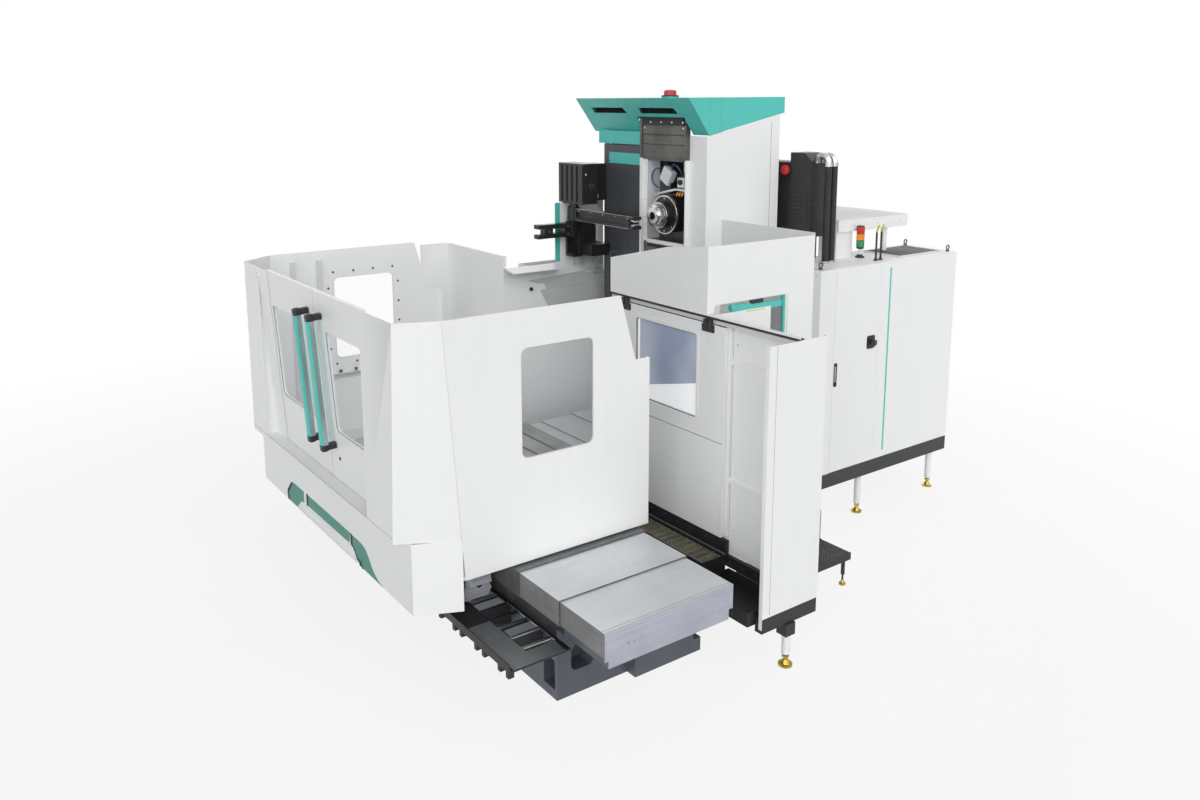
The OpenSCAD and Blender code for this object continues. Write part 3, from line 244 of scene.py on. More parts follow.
# A bluish, nearly opaque pane whose tint is a painted reflection
glassFinish("blueReflectingPane", "#A7B4D0", 0.82)
# Matt white film stuck on the lower part of a pane, made to glow as painted light for the daylight
# behind it
mouldedFinish("whiteFilmPaintedGlow", "#F4F5F7", "#EDEEF1", 0.6, 6, 0.02, glow=0.28)
print("finishes:", len(finishes))


def hull(mesh, rings, index=0):
    # Joins rings of equal length with quads, and closes the two ends
    layers = [[mesh.verts.new(p) for p in ring] for ring in rings]
    faces = []
    for low, high in zip(layers, layers[1:]):
        for i in range(len(low)):
            j = (i + 1) % len(low)
            faces.append(mesh.faces.new((low[i], low[j], high[j], high[i])))
    faces.append(mesh.faces.new(layers[0][::-1]))
    faces.append(mesh.faces.new(layers[-1]))
    for face in faces:
        face.material_index = index


def block(mesh, x0, x1, y0, y1, z0, z1, index=0):
    ring = [(x0, y0), (x1, y0), (x1, y1), (x0, y1)]
    hull(mesh, [[(x, y, z) for x, y in ring] for z in (z0, z1)], index)


def onAxis(pair, axis, place):
    # A point from its two other coordinates, in x, y, z order, and its place on the axis
    point = list(pair)
    point.insert("xyz".index(axis), place)
    return point


def plate(mesh, outline, axis, start, end, index=0):
    hull(mesh, [[onAxis(pair, axis, place) for pair in outline] for place in (start, end)], index)


def roundOutline(a0, a1, b0, b1, radius, steps=6):
    points = []
    for ca, cb, start in ((a1 - radius, b1 - radius, 0), (a0 + radius, b1 - radius, 90),
                          (a0 + radius, b0 + radius, 180), (a1 - radius, b0 + radius, 270)):
        for i in range(steps + 1):
            angle = math.radians(start + 90 * i / steps)
            points.append((ca + radius * math.cos(angle), cb + radius * math.sin(angle)))
    return points


def frameRing(mesh, a0, a1, b0, b1, radius, width, axis, start, end, index=0):
    # A flat ring round a rounded opening
    inner = roundOutline(a0, a1, b0, b1, radius, 5)
    outer = roundOutline(a0 - width, a1 + width, b0 - width, b1 + width, radius + width, 5)
    rings = [[mesh.verts.new(onAxis(pair, axis, place)) for pair in outline] for outline, place in
             ((outer, start), (outer, end), (inner, end), (inner, start))]
    for low, high in zip(rings, rings[1:] + rings[:1]):
        for i in range(len(low)):
            j = (i + 1) % len(low)
            mesh.faces.new((low[i], low[j], high[j], high[i])).material_index = index


def circle(centre, side, other, radius, sides):
    angles = [2 * math.pi * i / sides for i in range(sides)]
    return [centre + (side * math.cos(a) + other * math.sin(a)) * radius for a in angles]


def lathe(mesh, centre, direction, profile, sides=32, index=0):
    # profile holds (distance along the axis, radius)
    axis = Vector(direction).normalized()
    side = axis.orthogonal().normalized()
    hull(mesh, [circle(Vector(centre) + axis * distance, side, axis.cross(side), radius, sides)
                for distance, radius in profile], index)


def smoothPath(points, steps=6):
    # Catmull-Rom through the points
    points = [Vector(p) for p in points]
    padded = [2 * points[0] - points[1]] + points + [2 * points[-1] - points[-2]]
    result = []
    for i in range(1, len(padded) - 2):
        a, b, c, d = padded[i - 1:i + 3]
        for s in range(steps):
            t = s / steps
            result.append(0.5 * (2 * b + (c - a) * t + (2 * a - 5 * b + 4 * c - d) * t * t
                                 + (3 * b - a - 3 * c + d) * t ** 3))
    return result + [points[-1]]


def tube(mesh, points, radius, sides=10, index=0, smooth=True):
    path = smoothPath(points) if smooth else [Vector(p) for p in points]
    side = (path[1] - path[0]).normalized().orthogonal().normalized()
    rings = []
    for i, point in enumerate(path):
        tangent = (path[min(i + 1, len(path) - 1)] - path[max(i - 1, 0)]).normalized()
        side = (side - tangent * side.dot(tangent)).normalized()
        rings.append(circle(point, side, tangent.cross(side), radius, sides))
    hull(mesh, rings, index)


def placePiece(name, data, body, bevel=0.0):
    # Seats a mesh on its body, its faces smooth and its edges sharper than the limit kept hard
    sharpEdge = math.radians(32)
    work = bmesh.new()
    work.from_mesh(data)
    for face in work.faces:
        face.smooth = True
    for edge in work.edges:
        edge.smooth = len(edge.link_faces) == 2 and edge.calc_face_angle(0) < sharpEdge
    work.to_mesh(data)
    work.free()
    piece = bpy.data.objects.new(name, data)
    scene.collection.objects.link(piece)
    if bevel:
        rounding = piece.modifiers.new("edges", "BEVEL")
        rounding.width = bevel
        rounding.segments = 2
        rounding.limit_method = "ANGLE"
        rounding.angle_limit = math.radians(40)
        rounding.harden_normals = True
    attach(piece, body)
    return piece


def finishPiece(name, mesh, body, finishNames, bevel=0.0):
    # Turns a bmesh into a finished piece
    data = bpy.data.meshes.new(name)
    mesh.to_mesh(data)
    mesh.free()
    for finishName in finishNames:
        data.materials.append(finishes[finishName])
    return placePiece(name, data, body, bevel)


def makePiece(name, shapes, body, finishNames, bevel=0.0, move=None):
    # shapes holds (function, its values); move is a matrix for the whole piece
    mesh = bmesh.new()
    for shape, *values in shapes:
        shape(mesh, *values)
    if move:
        bmesh.ops.transform(mesh, matrix=move, verts=mesh.verts)
    bmesh.ops.recalc_face_normals(mesh, faces=mesh.faces)
    return finishPiece(name, mesh, body, finishNames, bevel)


bodyOfNode = {node: body for body, nodes in frame["record"]["behaviour"]["bodies"].items()
              for node in nodes}
slotOfNode = {part["node"]: part["material_slot"] for part in frame["record"]["subparts"]}


def span(node):
    # A node's box as named numbers
    low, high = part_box(node)
    return SimpleNamespace(x0=low.x, x1=high.x, y0=low.y, y1=high.y, z0=low.z, z1=high.z)


def inside(point, x=None, y=None, z=None):
    return all(limits is None or limits[0] <= value <= limits[1]
               for value, limits in zip(point, (x, y, z)))


def dressNode(node, finishNames, bevel=0.0, choose=None, cuts=()):
    # A merged copy of a CAD node with several finishes; choose gives a face's finish number
    mesh = bmesh.new()
    mesh.from_mesh(frame["nodes"][node].data)
    bmesh.ops.remove_doubles(mesh, verts=mesh.verts, dist=2e-6)
    for axis, value in cuts:
        geometry = mesh.verts[:] + mesh.edges[:] + mesh.faces[:]
        bmesh.ops.bisect_plane(mesh, geom=geometry, dist=1e-6, plane_co=onAxis((0, 0), axis, value),
                               plane_no=onAxis((0, 0), axis, 1))
    for face in mesh.faces:
        face.material_index = int(choose(face.calc_center_median(), face.normal)) if choose else 0
    bmesh.ops.dissolve_limit(mesh, angle_limit=math.radians(0.5), verts=mesh.verts,
                             edges=mesh.edges, delimit={"MATERIAL"})
    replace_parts(finishPiece(node + "Dressed", mesh, bodyOfNode[node],
                            finishNames, bevel), node)


def newTree(name, **inputs):
    # inputs holds the names of the inputs of each type; the geometry output comes first
    tree = bpy.data.node_groups.new(name, "GeometryNodeTree")
    tree.interface.new_socket(name="Geometry", in_out="OUTPUT", socket_type="NodeSocketGeometry")
    for kind, labels in inputs.items():
        for label in labels.split():
            tree.interface.new_socket(name=label, in_out="INPUT", socket_type="NodeSocket" + kind)
    return tree, tree.nodes.new("NodeGroupInput").outputs


def closeTree(tree, groups):
    # Realizes each group of instances, gives it its material, and joins them
    joined = add(tree, "GeometryNodeJoinGeometry")
    for instances, material in groups:
        real = add(tree, "GeometryNodeRealizeInstances", {0: instances})
        painted = add(tree, "GeometryNodeSetMaterial", {"Geometry": real.outputs[0],
                                                        "Material": material})
        tree.links.new(painted.outputs[0], joined.inputs[0])
    add(tree, "NodeGroupOutput", {0: joined.outputs[0]})
    return tree


def makeFastenerTree():
    # A screw head on every point, standing along the point's facing
    tree, given = newTree("fasteners", Geometry="Points", Float="Radius Height Socket",
                          Int="Sides", Material="Head Recess")
    facing = add(tree, "GeometryNodeInputNamedAttribute", {"Name": "facing"},
                 data_type="FLOAT_VECTOR").outputs["Attribute"]
    turn = add(tree, "FunctionNodeAlignRotationToVector", {"Vector": facing}, axis="Z")
    head = add(tree, "GeometryNodeMeshCylinder", {
        "Vertices": given["Sides"], "Radius": given["Radius"], "Depth": given["Height"]})
    socketRadius = add(tree, "ShaderNodeMath", {0: given["Radius"], 1: given["Socket"]},
                       operation="MULTIPLY")
    lift = add(tree, "ShaderNodeMath", {0: given["Height"], 1: 0.56}, operation="MULTIPLY")
    place = add(tree, "ShaderNodeCombineXYZ", {"Z": lift.outputs[0]})
    recess = add(tree, "GeometryNodeMeshCylinder", {
        "Vertices": 6, "Radius": socketRadius.outputs[0], "Depth": 0.0006})
    raised = add(tree, "GeometryNodeTransform", {"Geometry": recess.outputs["Mesh"],
                                                 "Translation": place.outputs[0]})
    groups = []
    for shape, material in ((head.outputs["Mesh"], given["Head"]),
                            (raised.outputs[0], given["Recess"])):
        placed = add(tree, "GeometryNodeInstanceOnPoints", {
            "Points": given["Points"], "Instance": shape, "Rotation": turn.outputs[0]})
        groups.append((placed.outputs[0], material))
    return closeTree(tree, groups)


def makeRowTree():
    # Blocks of one size, side by side along a line
    tree, given = newTree("rows", Vector="Start Step Size", Int="Count", Material="Finish")
    line = add(tree, "GeometryNodeMeshLine", {
        "Count": given["Count"], "Start Location": given["Start"], "Offset": given["Step"]},
        mode="OFFSET")
    bar = add(tree, "GeometryNodeMeshCube", {"Size": given["Size"]})
    placed = add(tree, "GeometryNodeInstanceOnPoints", {"Points": line.outputs[0],
                                                        "Instance": bar.outputs["Mesh"]})
    return closeTree(tree, [(placed.outputs[0], given["Finish"])])


def makePerforationTree():
    # A field of small discs, which read as punched holes or studs
    tree, given = newTree("perforations", Vector="Start ColumnStep RowStep Facing",
                          Int="Columns Rows Sides", Float="Radius Height", Material="Finish")
    columns = add(tree, "GeometryNodeMeshLine", {
        "Count": given["Columns"], "Start Location": given["Start"],
        "Offset": given["ColumnStep"]}, mode="OFFSET")
    rows = add(tree, "GeometryNodeMeshLine", {"Count": given["Rows"], "Offset": given["RowStep"]},
               mode="OFFSET")
    field = add(tree, "GeometryNodeInstanceOnPoints", {"Points": columns.outputs[0],
                                                       "Instance": rows.outputs[0]})
    points = add(tree, "GeometryNodeRealizeInstances", {0: field.outputs[0]})
    disc = add(tree, "GeometryNodeMeshCylinder", {
        "Vertices": given["Sides"], "Radius": given["Radius"], "Depth": given["Height"]})
    turn = add(tree, "FunctionNodeAlignRotationToVector", {"Vector": given["Facing"]}, axis="Z")
    placed = add(tree, "GeometryNodeInstanceOnPoints", {
        "Points": points.outputs[0], "Instance": disc.outputs["Mesh"], "Rotation": turn.outputs[0]})
    return closeTree(tree, [(placed.outputs[0], given["Finish"])])


def makeLinkTree():
    # Links of a cable carrier that follow a path, each with its snap-in bar
    tree, given = newTree("links", Geometry="Path", Float="Pitch Length Width Height Bar",
                          Material="Shell Bars")
    path = add(tree, "GeometryNodeMeshToCurve", {"Mesh": given["Path"]})
    points = add(tree, "GeometryNodeCurveToPoints", {"Curve": path.outputs[0],
                                                     "Length": given["Pitch"]}, mode="LENGTH")
    barHeight = add(tree, "ShaderNodeMath", {0: given["Height"], 1: 1.06}, operation="MULTIPLY")
    barWidth = add(tree, "ShaderNodeMath", {0: given["Width"], 1: 0.8}, operation="MULTIPLY")
    groups = []
    for width, height, length, material in (
            (given["Width"], given["Height"], given["Length"], given["Shell"]),
            (barWidth.outputs[0], barHeight.outputs[0], given["Bar"], given["Bars"])):
        size = add(tree, "ShaderNodeCombineXYZ", {"X": width, "Y": height, "Z": length})
        shape = add(tree, "GeometryNodeMeshCube", {"Size": size.outputs[0]})
        placed = add(tree, "GeometryNodeInstanceOnPoints", {
            "Points": points.outputs["Points"], "Instance": shape.outputs["Mesh"],
            "Rotation": points.outputs["Rotation"]})
        groups.append((placed.outputs[0], material))
    return closeTree(tree, groups)


fastenerTree, rowTree = makeFastenerTree(), makeRowTree()
perforationTree, linkTree = makePerforationTree(), makeLinkTree()
print("node trees: fasteners, rows, perforations, links")


def growPiece(name, data, tree, body, slotName, **values):
    # Runs a tree on an object, keeps the result as a plain mesh, and seats it on its body
    source = bpy.data.objects.new(name + "Source", data or bpy.data.meshes.new(name))
    scene.collection.objects.link(source)
    modifier = source.modifiers.new("build", "NODES")
    modifier.node_group = tree
    for item in tree.interface.items_tree:
        if item.in_out == "INPUT" and item.name in values:
            value = values[item.name]
            modifier[item.identifier] = finishes[value] if isinstance(value, str) else value
    source.update_tag()
    graph = bpy.context.evaluated_depsgraph_get()
    plain = bpy.data.meshes.new_from_object(source.evaluated_get(graph))
    source.modifiers.clear()
    bpy.data.objects.remove(source)
    plain.name = name
    return placePiece(name, plain, body)


def growFasteners(name, places, body, slotName="black_sheet", head="blackNylon",
                  recess="blackRubber", radius=0.008, height=0.005, sides=12, socket=0.5):
    # places holds (point, facing)
    data = bpy.data.meshes.new(name)
    data.from_pydata([point for point, facing in places], [], [])
    attribute = data.attributes.new("facing", "FLOAT_VECTOR", "POINT")
    for item, (point, facing) in zip(attribute.data, places):
        item.vector = facing
    growPiece(name, data, fastenerTree, body, slotName, Radius=radius, Height=height, Sides=sides,
              Socket=socket, Head=head, Recess=recess)


def growRow(name, start, step, count, size, finishName, body, slotName):
    growPiece(name, None, rowTree, body, slotName, Start=start, Step=step, Count=count, Size=size,
              Finish=finishName)


def growHoles(name, start, columnStep, columns, rowStep, rows, radius, facing, finishName, body,
              slotName, height=0.001, sides=8):
    growPiece(name, None, perforationTree, body, slotName, Start=start, ColumnStep=columnStep,
              Columns=columns, RowStep=rowStep, Rows=rows, Radius=radius, Height=height,
              Sides=sides, Facing=facing, Finish=finishName)


forward, rightward, upward = (0, -1, 0), (1, 0, 0), (0, 0, 1)  # facings of the small fittings

# Places that many pieces share, all from the frame
sill = span("tub_front")
column = span("column")
guides = span("shutter_guides")
shutter = span("headstock_shutter")
guardDoor = span("guard_door")
console = span("side_console")
spindleZ = (span("milling_sleeve").z0 + span("milling_sleeve").z1) / 2
doorBox = {"left": span("left_tub_door"), "right": span("right_tub_door")}
windows = {  # window limits across and up, in metres
    "left": ((-0.73, -0.01), (1.345, 2.005)), "right": ((0.27, 0.84), (1.345, 2.005)),
    "guard": ((0.765, 1.407), (1.345, 1.915)), "wall": ((-0.40, 0.11), (1.36, 2.024))}
finishLimits = {  # where the finish changes on a node, in metres
    # limits of the painted shade on the bed's flank
    "sootLow": 0.4025, "sootEnd": 1.90,  # the bed's flank in the dark
    "plinth": 0.4605, "pad": 0.079, "rods": (0.98, 1.02), "knobBack": 2.7645,
    "deflectorLow": 1.975, "deflectorBack": 1.5, "footpad": 0.05, "postCap": 0.4505,
    "pots": ((-1.72, -1.15), (1.64, 1.86), (0.5, 1.8)),  # the tool pots of the magazine
    "shutterEdge": (-0.2, 1.888),
    "bezel": ((1.105, 1.615), (1.525, 1.965)), "consoleBack": 1.639, "consoleFace": 1.4805,
    "beacon": ((-0.08, 0.07), (1.8, 2.0)), "beaconFoot": 3.4495, "beaconLens": 3.4585,
    "noseFace": 1.80, "noseReach": 0.083, "ringReach": 0.15, "ringBack": 1.90,
    "strip": (3.26, 3.324), "posts": (-0.29, 0.2), "postTop": 2.955,
    "doorFace": 1.1005, "gripWell": ((1.085, 1.0955), (2.69, 2.73), (1.175, 1.375))}
limit = SimpleNamespace(**finishLimits)


def across(normal, axis):
    # Whether a face looks along the axis, either way
    return abs(normal["xyz".index(axis)]) > 0.9


def bedFinish(point, normal):
    # Painted shade: the flank that the tray and the covers keep in the dark takes a near-black copy
    # of the enamel
    return int(normal.y < -0.9 and point.x <= limit.sootEnd and point.z >= limit.sootLow)


def coverFinish(point, normal):
    # Brushed top; the sides in a darker copy as painted shade, the ends in a bluish copy as painted
    # reflection
    if across(normal, "x"):
        return 2
    return 1 if across(normal, "y") else 0


def wallFinish(point, normal):
    wide, high = windows["wall"]
    return 1 if inside(point, y=wide, z=high) and across(normal, "x") else 0


def doorFinish(side):
    # Pane, frame, and the dark shoe along the lower edge
    wide, high = windows[side]
    box = doorBox[side]

    def choose(point, normal):
        if inside(point, wide, (box.y0 + 0.0045, 9), high) and normal.y ** 2 > 0.9:
            return 1
        return 2 if point.y > box.y1 - 0.016 and point.z < box.z0 + 0.02 else 0
    return choose


def guardDoorFinish(point, normal):
    wide, high = windows["guard"]
    if inside(point, x=wide, z=high) and across(normal, "y"):
        return 1
    return 2 if point.z > guardDoor.z1 - 0.0335 else 0


def consoleFinish(point, normal):
    if point.x >= console.x0 + 0.035 and inside(point, None, *limit.bezel):
        return 1
    if point.y > limit.consoleBack:
        return 2
    return int(point.x > limit.consoleFace)


def capFinish(point, normal):
    # The beacon's foot and lens on the teal cap
    if point.z > limit.beaconFoot and inside(point, *limit.beacon):
        return 2 if point.z > limit.beaconLens else 1
    return 0


def sleeveFinish(point, normal):
    # Bright front rings and rim, blackened between them
    reach = math.hypot(point.x, point.z - spindleZ)
    if normal.y < -0.9:
        return 0 if point.y < limit.noseFace and reach > limit.noseReach else 1
    return 0 if reach > limit.ringReach and point.y < limit.ringBack else 1


def guidesFinish(point, normal):
    # Black strip above, sheet between, white posts below
    if point.y <= guides.y0 + 0.0125 and inside(point, z=limit.strip):
        return 1
    return 2 if not inside(point, limit.posts) and point.z < limit.postTop else 0


def cabinetDoorFinish(point, normal):
    # The lock's post and the grip's well
    return int(point.x > limit.doorFace or inside(point, *limit.gripWell))


plainNodes = {  # (finish, bevel): nodes
    ("slateEnamel", 0.004): ["z_bed"],
    ("slateEnamel", 0.003): ["saddle", "rotary_base", "column_base"],
    ("charcoalEnamel", 0.003): ["column", "headstock"],
    ("oiledBlackSteel", 0.003): ["changer_body", "changer_arm"],
    ("oiledBlackSteel", 0.002): ["spindle_housing"],
    ("groundRailSteel", 0.002): ["bed_rails"],
    ("groundRailSteel", 0.001): ["column_guides"],
    ("groundShaftSteel", 0.002): ["boring_bar"],
    ("milledTableIron", 0.002): ["table"],
    ("whitePowderCoat", 0.0): ["right_guard", "upper_box"],
    ("whitePowderCoat", 0.001): ["tub_front", "column_sheet"],
    ("greyWhitePowderCoat", 0.001): ["tub_pan"],
    ("blackPowderCoat", 0.0): ["guard_frame", "spindle_motor"],
    ("blackPowderCoat", 0.001): ["chip_conveyor", "cable_tray"],
    ("stainedBeltSteel", 0.0): ["chip_belt"],
    ("rolledShutterSheet", 0.0): ["upper_shutter_1", "upper_shutter_2", "lower_shutter_1",
                                  "lower_shutter_2"]}
mixedNodes = {  # node: (finishes, bevel, what chooses a face's finish, cuts)
    # the bed, with painted shade on its flank under the covers
    "x_bed": (["slateEnamel", "sootedCasting"], 0.004, bedFinish,
              (("z", limit.sootLow), ("x", limit.sootEnd))),
    # the near cover's sides in the dark wiper steel as painted shade, its ends in the bluish
    # painted reflection
    "x_cover_near": (["galvanisedSheet", "darkWiperSteel", "endCoverSheet"], 0.001, coverFinish),
    "levelling_legs": (["whitePowderCoat", "passivatedSteel"], 0.0, lambda p, n: p.z < limit.pad),
    # the deflector's downward faces take the greyer coat as painted shade
    "left_guard": (["whitePowderCoat", "greyWhitePowderCoat"], 0.0,
                   lambda p, n: (n.z < -0.9 and p.z > limit.deflectorLow
                                 and p.y < limit.deflectorBack)),
    "side_console": (["tealPowderCoat", "blackPowderCoat", "greyNylon"], 0.003, consoleFinish),
    # the cabinet, its plinth in the near-black of painted shade
    "cabinet": (["whitePowderCoat", "graphiteEnamel"], 0.002, lambda p, n: p.z < limit.plinth,
                (("z", 0.46),)),
    # the hood's top faces take the greyer coat as painted shade
    "hood_unit": (["whitePowderCoat", "blackNylon", "greyWhitePowderCoat"], 0.002,
                  lambda p, n: 1 if inside(p, limit.rods) else 2 if n.z > 0.9 else 0),
    "rear_unit": (["blackPowderCoat", "redAcetal"], 0.002,
                  lambda p, n: p.y < limit.knobBack),
    "step_platform": (["blackPowderCoat", "orangeLens", "passivatedSteel"], 0.0,
                      lambda p, n: 2 if p.z < limit.footpad else p.z > limit.postCap,
                      (("z", 0.45),)),
    "tool_magazine": (["whitePowderCoat", "groundShaftSteel"], 0.002,
                      lambda p, n: inside(p, *limit.pots)),
    "tub_left_wall": (["whitePowderCoat", "clearPane"], 0.001, wallFinish),
    "tub_right_wall": (["whitePowderCoat", "clearPane"], 0.001, wallFinish),
    "left_tub_door": (["whitePowderCoat", "clearPane", "blackNylon"], 0.001, doorFinish("left")),
    "right_tub_door": (["whitePowderCoat", "clearPane", "blackNylon"], 0.001, doorFinish("right")),
    "column_cap": (["tealPowderCoat", "blackNylon", "redAcetal"], 0.001, capFinish),
    "shutter_guides": (["rolledShutterSheet", "blackPowderCoat", "whitePowderCoat"], 0.0,
                       guidesFinish, (("z", limit.postTop),)),
    "headstock_shutter": (["rolledShutterSheet", "whitePowderCoat"], 0.0,
                          lambda p, n: (n.x > 0.9 and p.x < limit.shutterEdge[0]
                                        and p.y > limit.shutterEdge[1])),
    "milling_sleeve": (["groundShaftSteel", "oiledBlackSteel"], 0.002, sleeveFinish),
    # the guard door, its pane's blue a painted reflection
    "guard_door": (["whitePowderCoat", "blueReflectingPane", "blackNylon"], 0.001, guardDoorFinish),
    "left_cabinet_door": (["whitePowderCoat", "blackNylon"], 0.001, cabinetDoorFinish),
    "right_cabinet_door": (["whitePowderCoat", "tealPowderCoat"], 0.001,
                           lambda p, n: p.x > limit.doorFace)}
# moving covers: brushed tops, with painted shade on the sides and painted reflection on the ends
for node in ("fixed_covers", "x_cover_mid_left", "x_cover_mid_right", "z_cover_near",
             "z_cover_front_1", "z_cover_front_2", "z_cover_rear_1"):
    mixedNodes[node] = (["brushedCoverSheet", "dullCoverSheet", "endCoverSheet"], 0.001,
                        coverFinish)
for (finishName, bevel), nodes in plainNodes.items():
    mixedNodes.update({node: ([finishName], bevel) for node in nodes})
for node in slotOfNode:  # in the order of the record
    if node in mixedNodes:
        dressNode(node, *mixedNodes[node])
# The feed screws stay as the frame has them, with a ground finish
screwData = frame["nodes"]["feed_screws"].data
screwData.materials.clear()
screwData.materials.append(finishes["groundShaftSteel"])
print("dressed CAD nodes:", len(mixedNodes))

# Doors: pull handles in a teal channel, plugs below them, and the hems of the leaves
doorValues = {
    "lean": math.radians(3.9),
    "low": 1.266, "high": 2.079,  # ends of the handle's channel above the floor
    "half": 0.027, "cap": 0.037, "near": -0.098, "far": -0.050,  # its half width, caps and depths
    "plug": 0.011, "plugZ": 1.165, "plugOffset": 0.052,
    "hemRing": 0.006, "hem": 0.0015}
doorLean = doorValues["lean"]
doorPlane = (Matrix.Translation((0, doorBox["left"].y0, sill.z1))
             @ Matrix.Rotation(doorLean, 4, "X"))
handleCentre = {side: (span(side + "_handle").x0 + span(side + "_handle").x1) / 2
                for side in doorBox}


def alongDoor(z):
    # Distance down the leaning leaf for a height above the floor
    return (z - sill.z1) / math.cos(doorLean)


def makeHandle(side):
    v = doorValues
    node, body = side + "_handle", side + "_door"
    centre = handleCentre[side]
    low, high, near, far = alongDoor(v["low"]), alongDoor(v["high"]), v["near"], v["far"]
    left, right = centre - v["half"], centre + v["half"]
    shapes = [
        (plate, roundOutline(left, right - 0.006, near, far, 0.012), "z", low, high),
        (block, left - 0.001, left + 0.005, near + 0.013, far - 0.012, low, high, 1),
        (block, right - 0.012, right - 0.002, near + 0.012, far - 0.008, low, high, 2),
        (block, right - 0.004, right, near + 0.010, near + 0.014, low, high),
        (block, right - 0.004, right, far - 0.010, far - 0.006, low, high)]
    outer = roundOutline(left - 0.002, right + 0.002, near - 0.002, far + 0.002, 0.016)
    inner = roundOutline(left + 0.006, right - 0.006, near + 0.006, far - 0.006, 0.012)
    foot = roundOutline(centre - 0.022, centre + 0.022, far, 0.0006, 0.004, 3)
    for z0, z1, lid in ((low - v["cap"], low, -0.006), (high, high + v["cap"], 0.006)):
        shapes += [(plate, outer, "z", z0, z1, 3), (plate, foot, "z", z0, z1, 3),
                   (plate, inner, "z", z0 + min(lid, 0), z1 + max(lid, 0), 3)]
    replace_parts(makePiece(node + "Dressed", shapes, body, [
        "tealPowderCoat", "deepTealPowderCoat", "anodisedAluminium", "blackNylon"], 0.0012,
        doorPlane), node)
    grip = [(centre, near - 0.0022, z) for z in (low - 0.013, high + 0.013)]
    growFasteners(node + "Screws", [(tuple(doorPlane @ Vector(p)), forward) for p in grip], body,
                  slotOfNode[node], "anodisedAluminium", radius=0.0055, height=0.003)


def dressDoor(side):
    v = doorValues
    body = side + "_door"
    (x0, x1), (z0, z1) = windows[side]
    makePiece(side + "DoorHemRing", [
        (frameRing, x0 - 0.0005, x1 + 0.0005, alongDoor(z0 - 0.0005), alongDoor(z1 + 0.0005), 0.04,
         -v["hemRing"], "y", 0.010, 0.019)],
        body, ["whitePowderCoat"], move=doorPlane)
    makePiece(side + "DoorPlug", [
        (lathe, (handleCentre[side] + v["plugOffset"], 0, alongDoor(v["plugZ"])), forward,
         [(0, v["plug"]), (0.004, v["plug"]), (0.0065, v["plug"] * 0.7)], 16)],
        body, ["blackNylon"], move=doorPlane)
    # Hemmed edge of the leaf at the meeting line
    box = doorBox[side]
    x0, x1 = (box.x1 - v["hem"], box.x1) if side == "left" else (box.x0, box.x0 + v["hem"])
    makePiece(side + "DoorHem", [(block, x0, x1, -0.0012, 0.0, alongDoor(1.01), -0.004)],
              body, ["greyWhitePowderCoat"], move=doorPlane)


for side in doorBox:
    makeHandle(side)
for side in doorBox:
    dressDoor(side)
print("doors: handles, plugs, hems")

# Skirt of the enclosure: three sunk teal accents, the rounded lip below them and the corner strips
skirtValues = {
    "plane": 0.080 + sill.y0,  # the skirt's face, behind the sill's
    "proud": 0.0014, "accentLow": 0.622, "sillZ": 0.965,
    "lip": ((0.0, 0.0), (0.004, 0.001), (0.008, 0.006), (0.011, 0.014), (0.012, 0.026))}


def flatCurve(points, steps=5):
    return [(p.x, p.y) for p in smoothPath([(x, z, 0) for x, z in points], steps)]


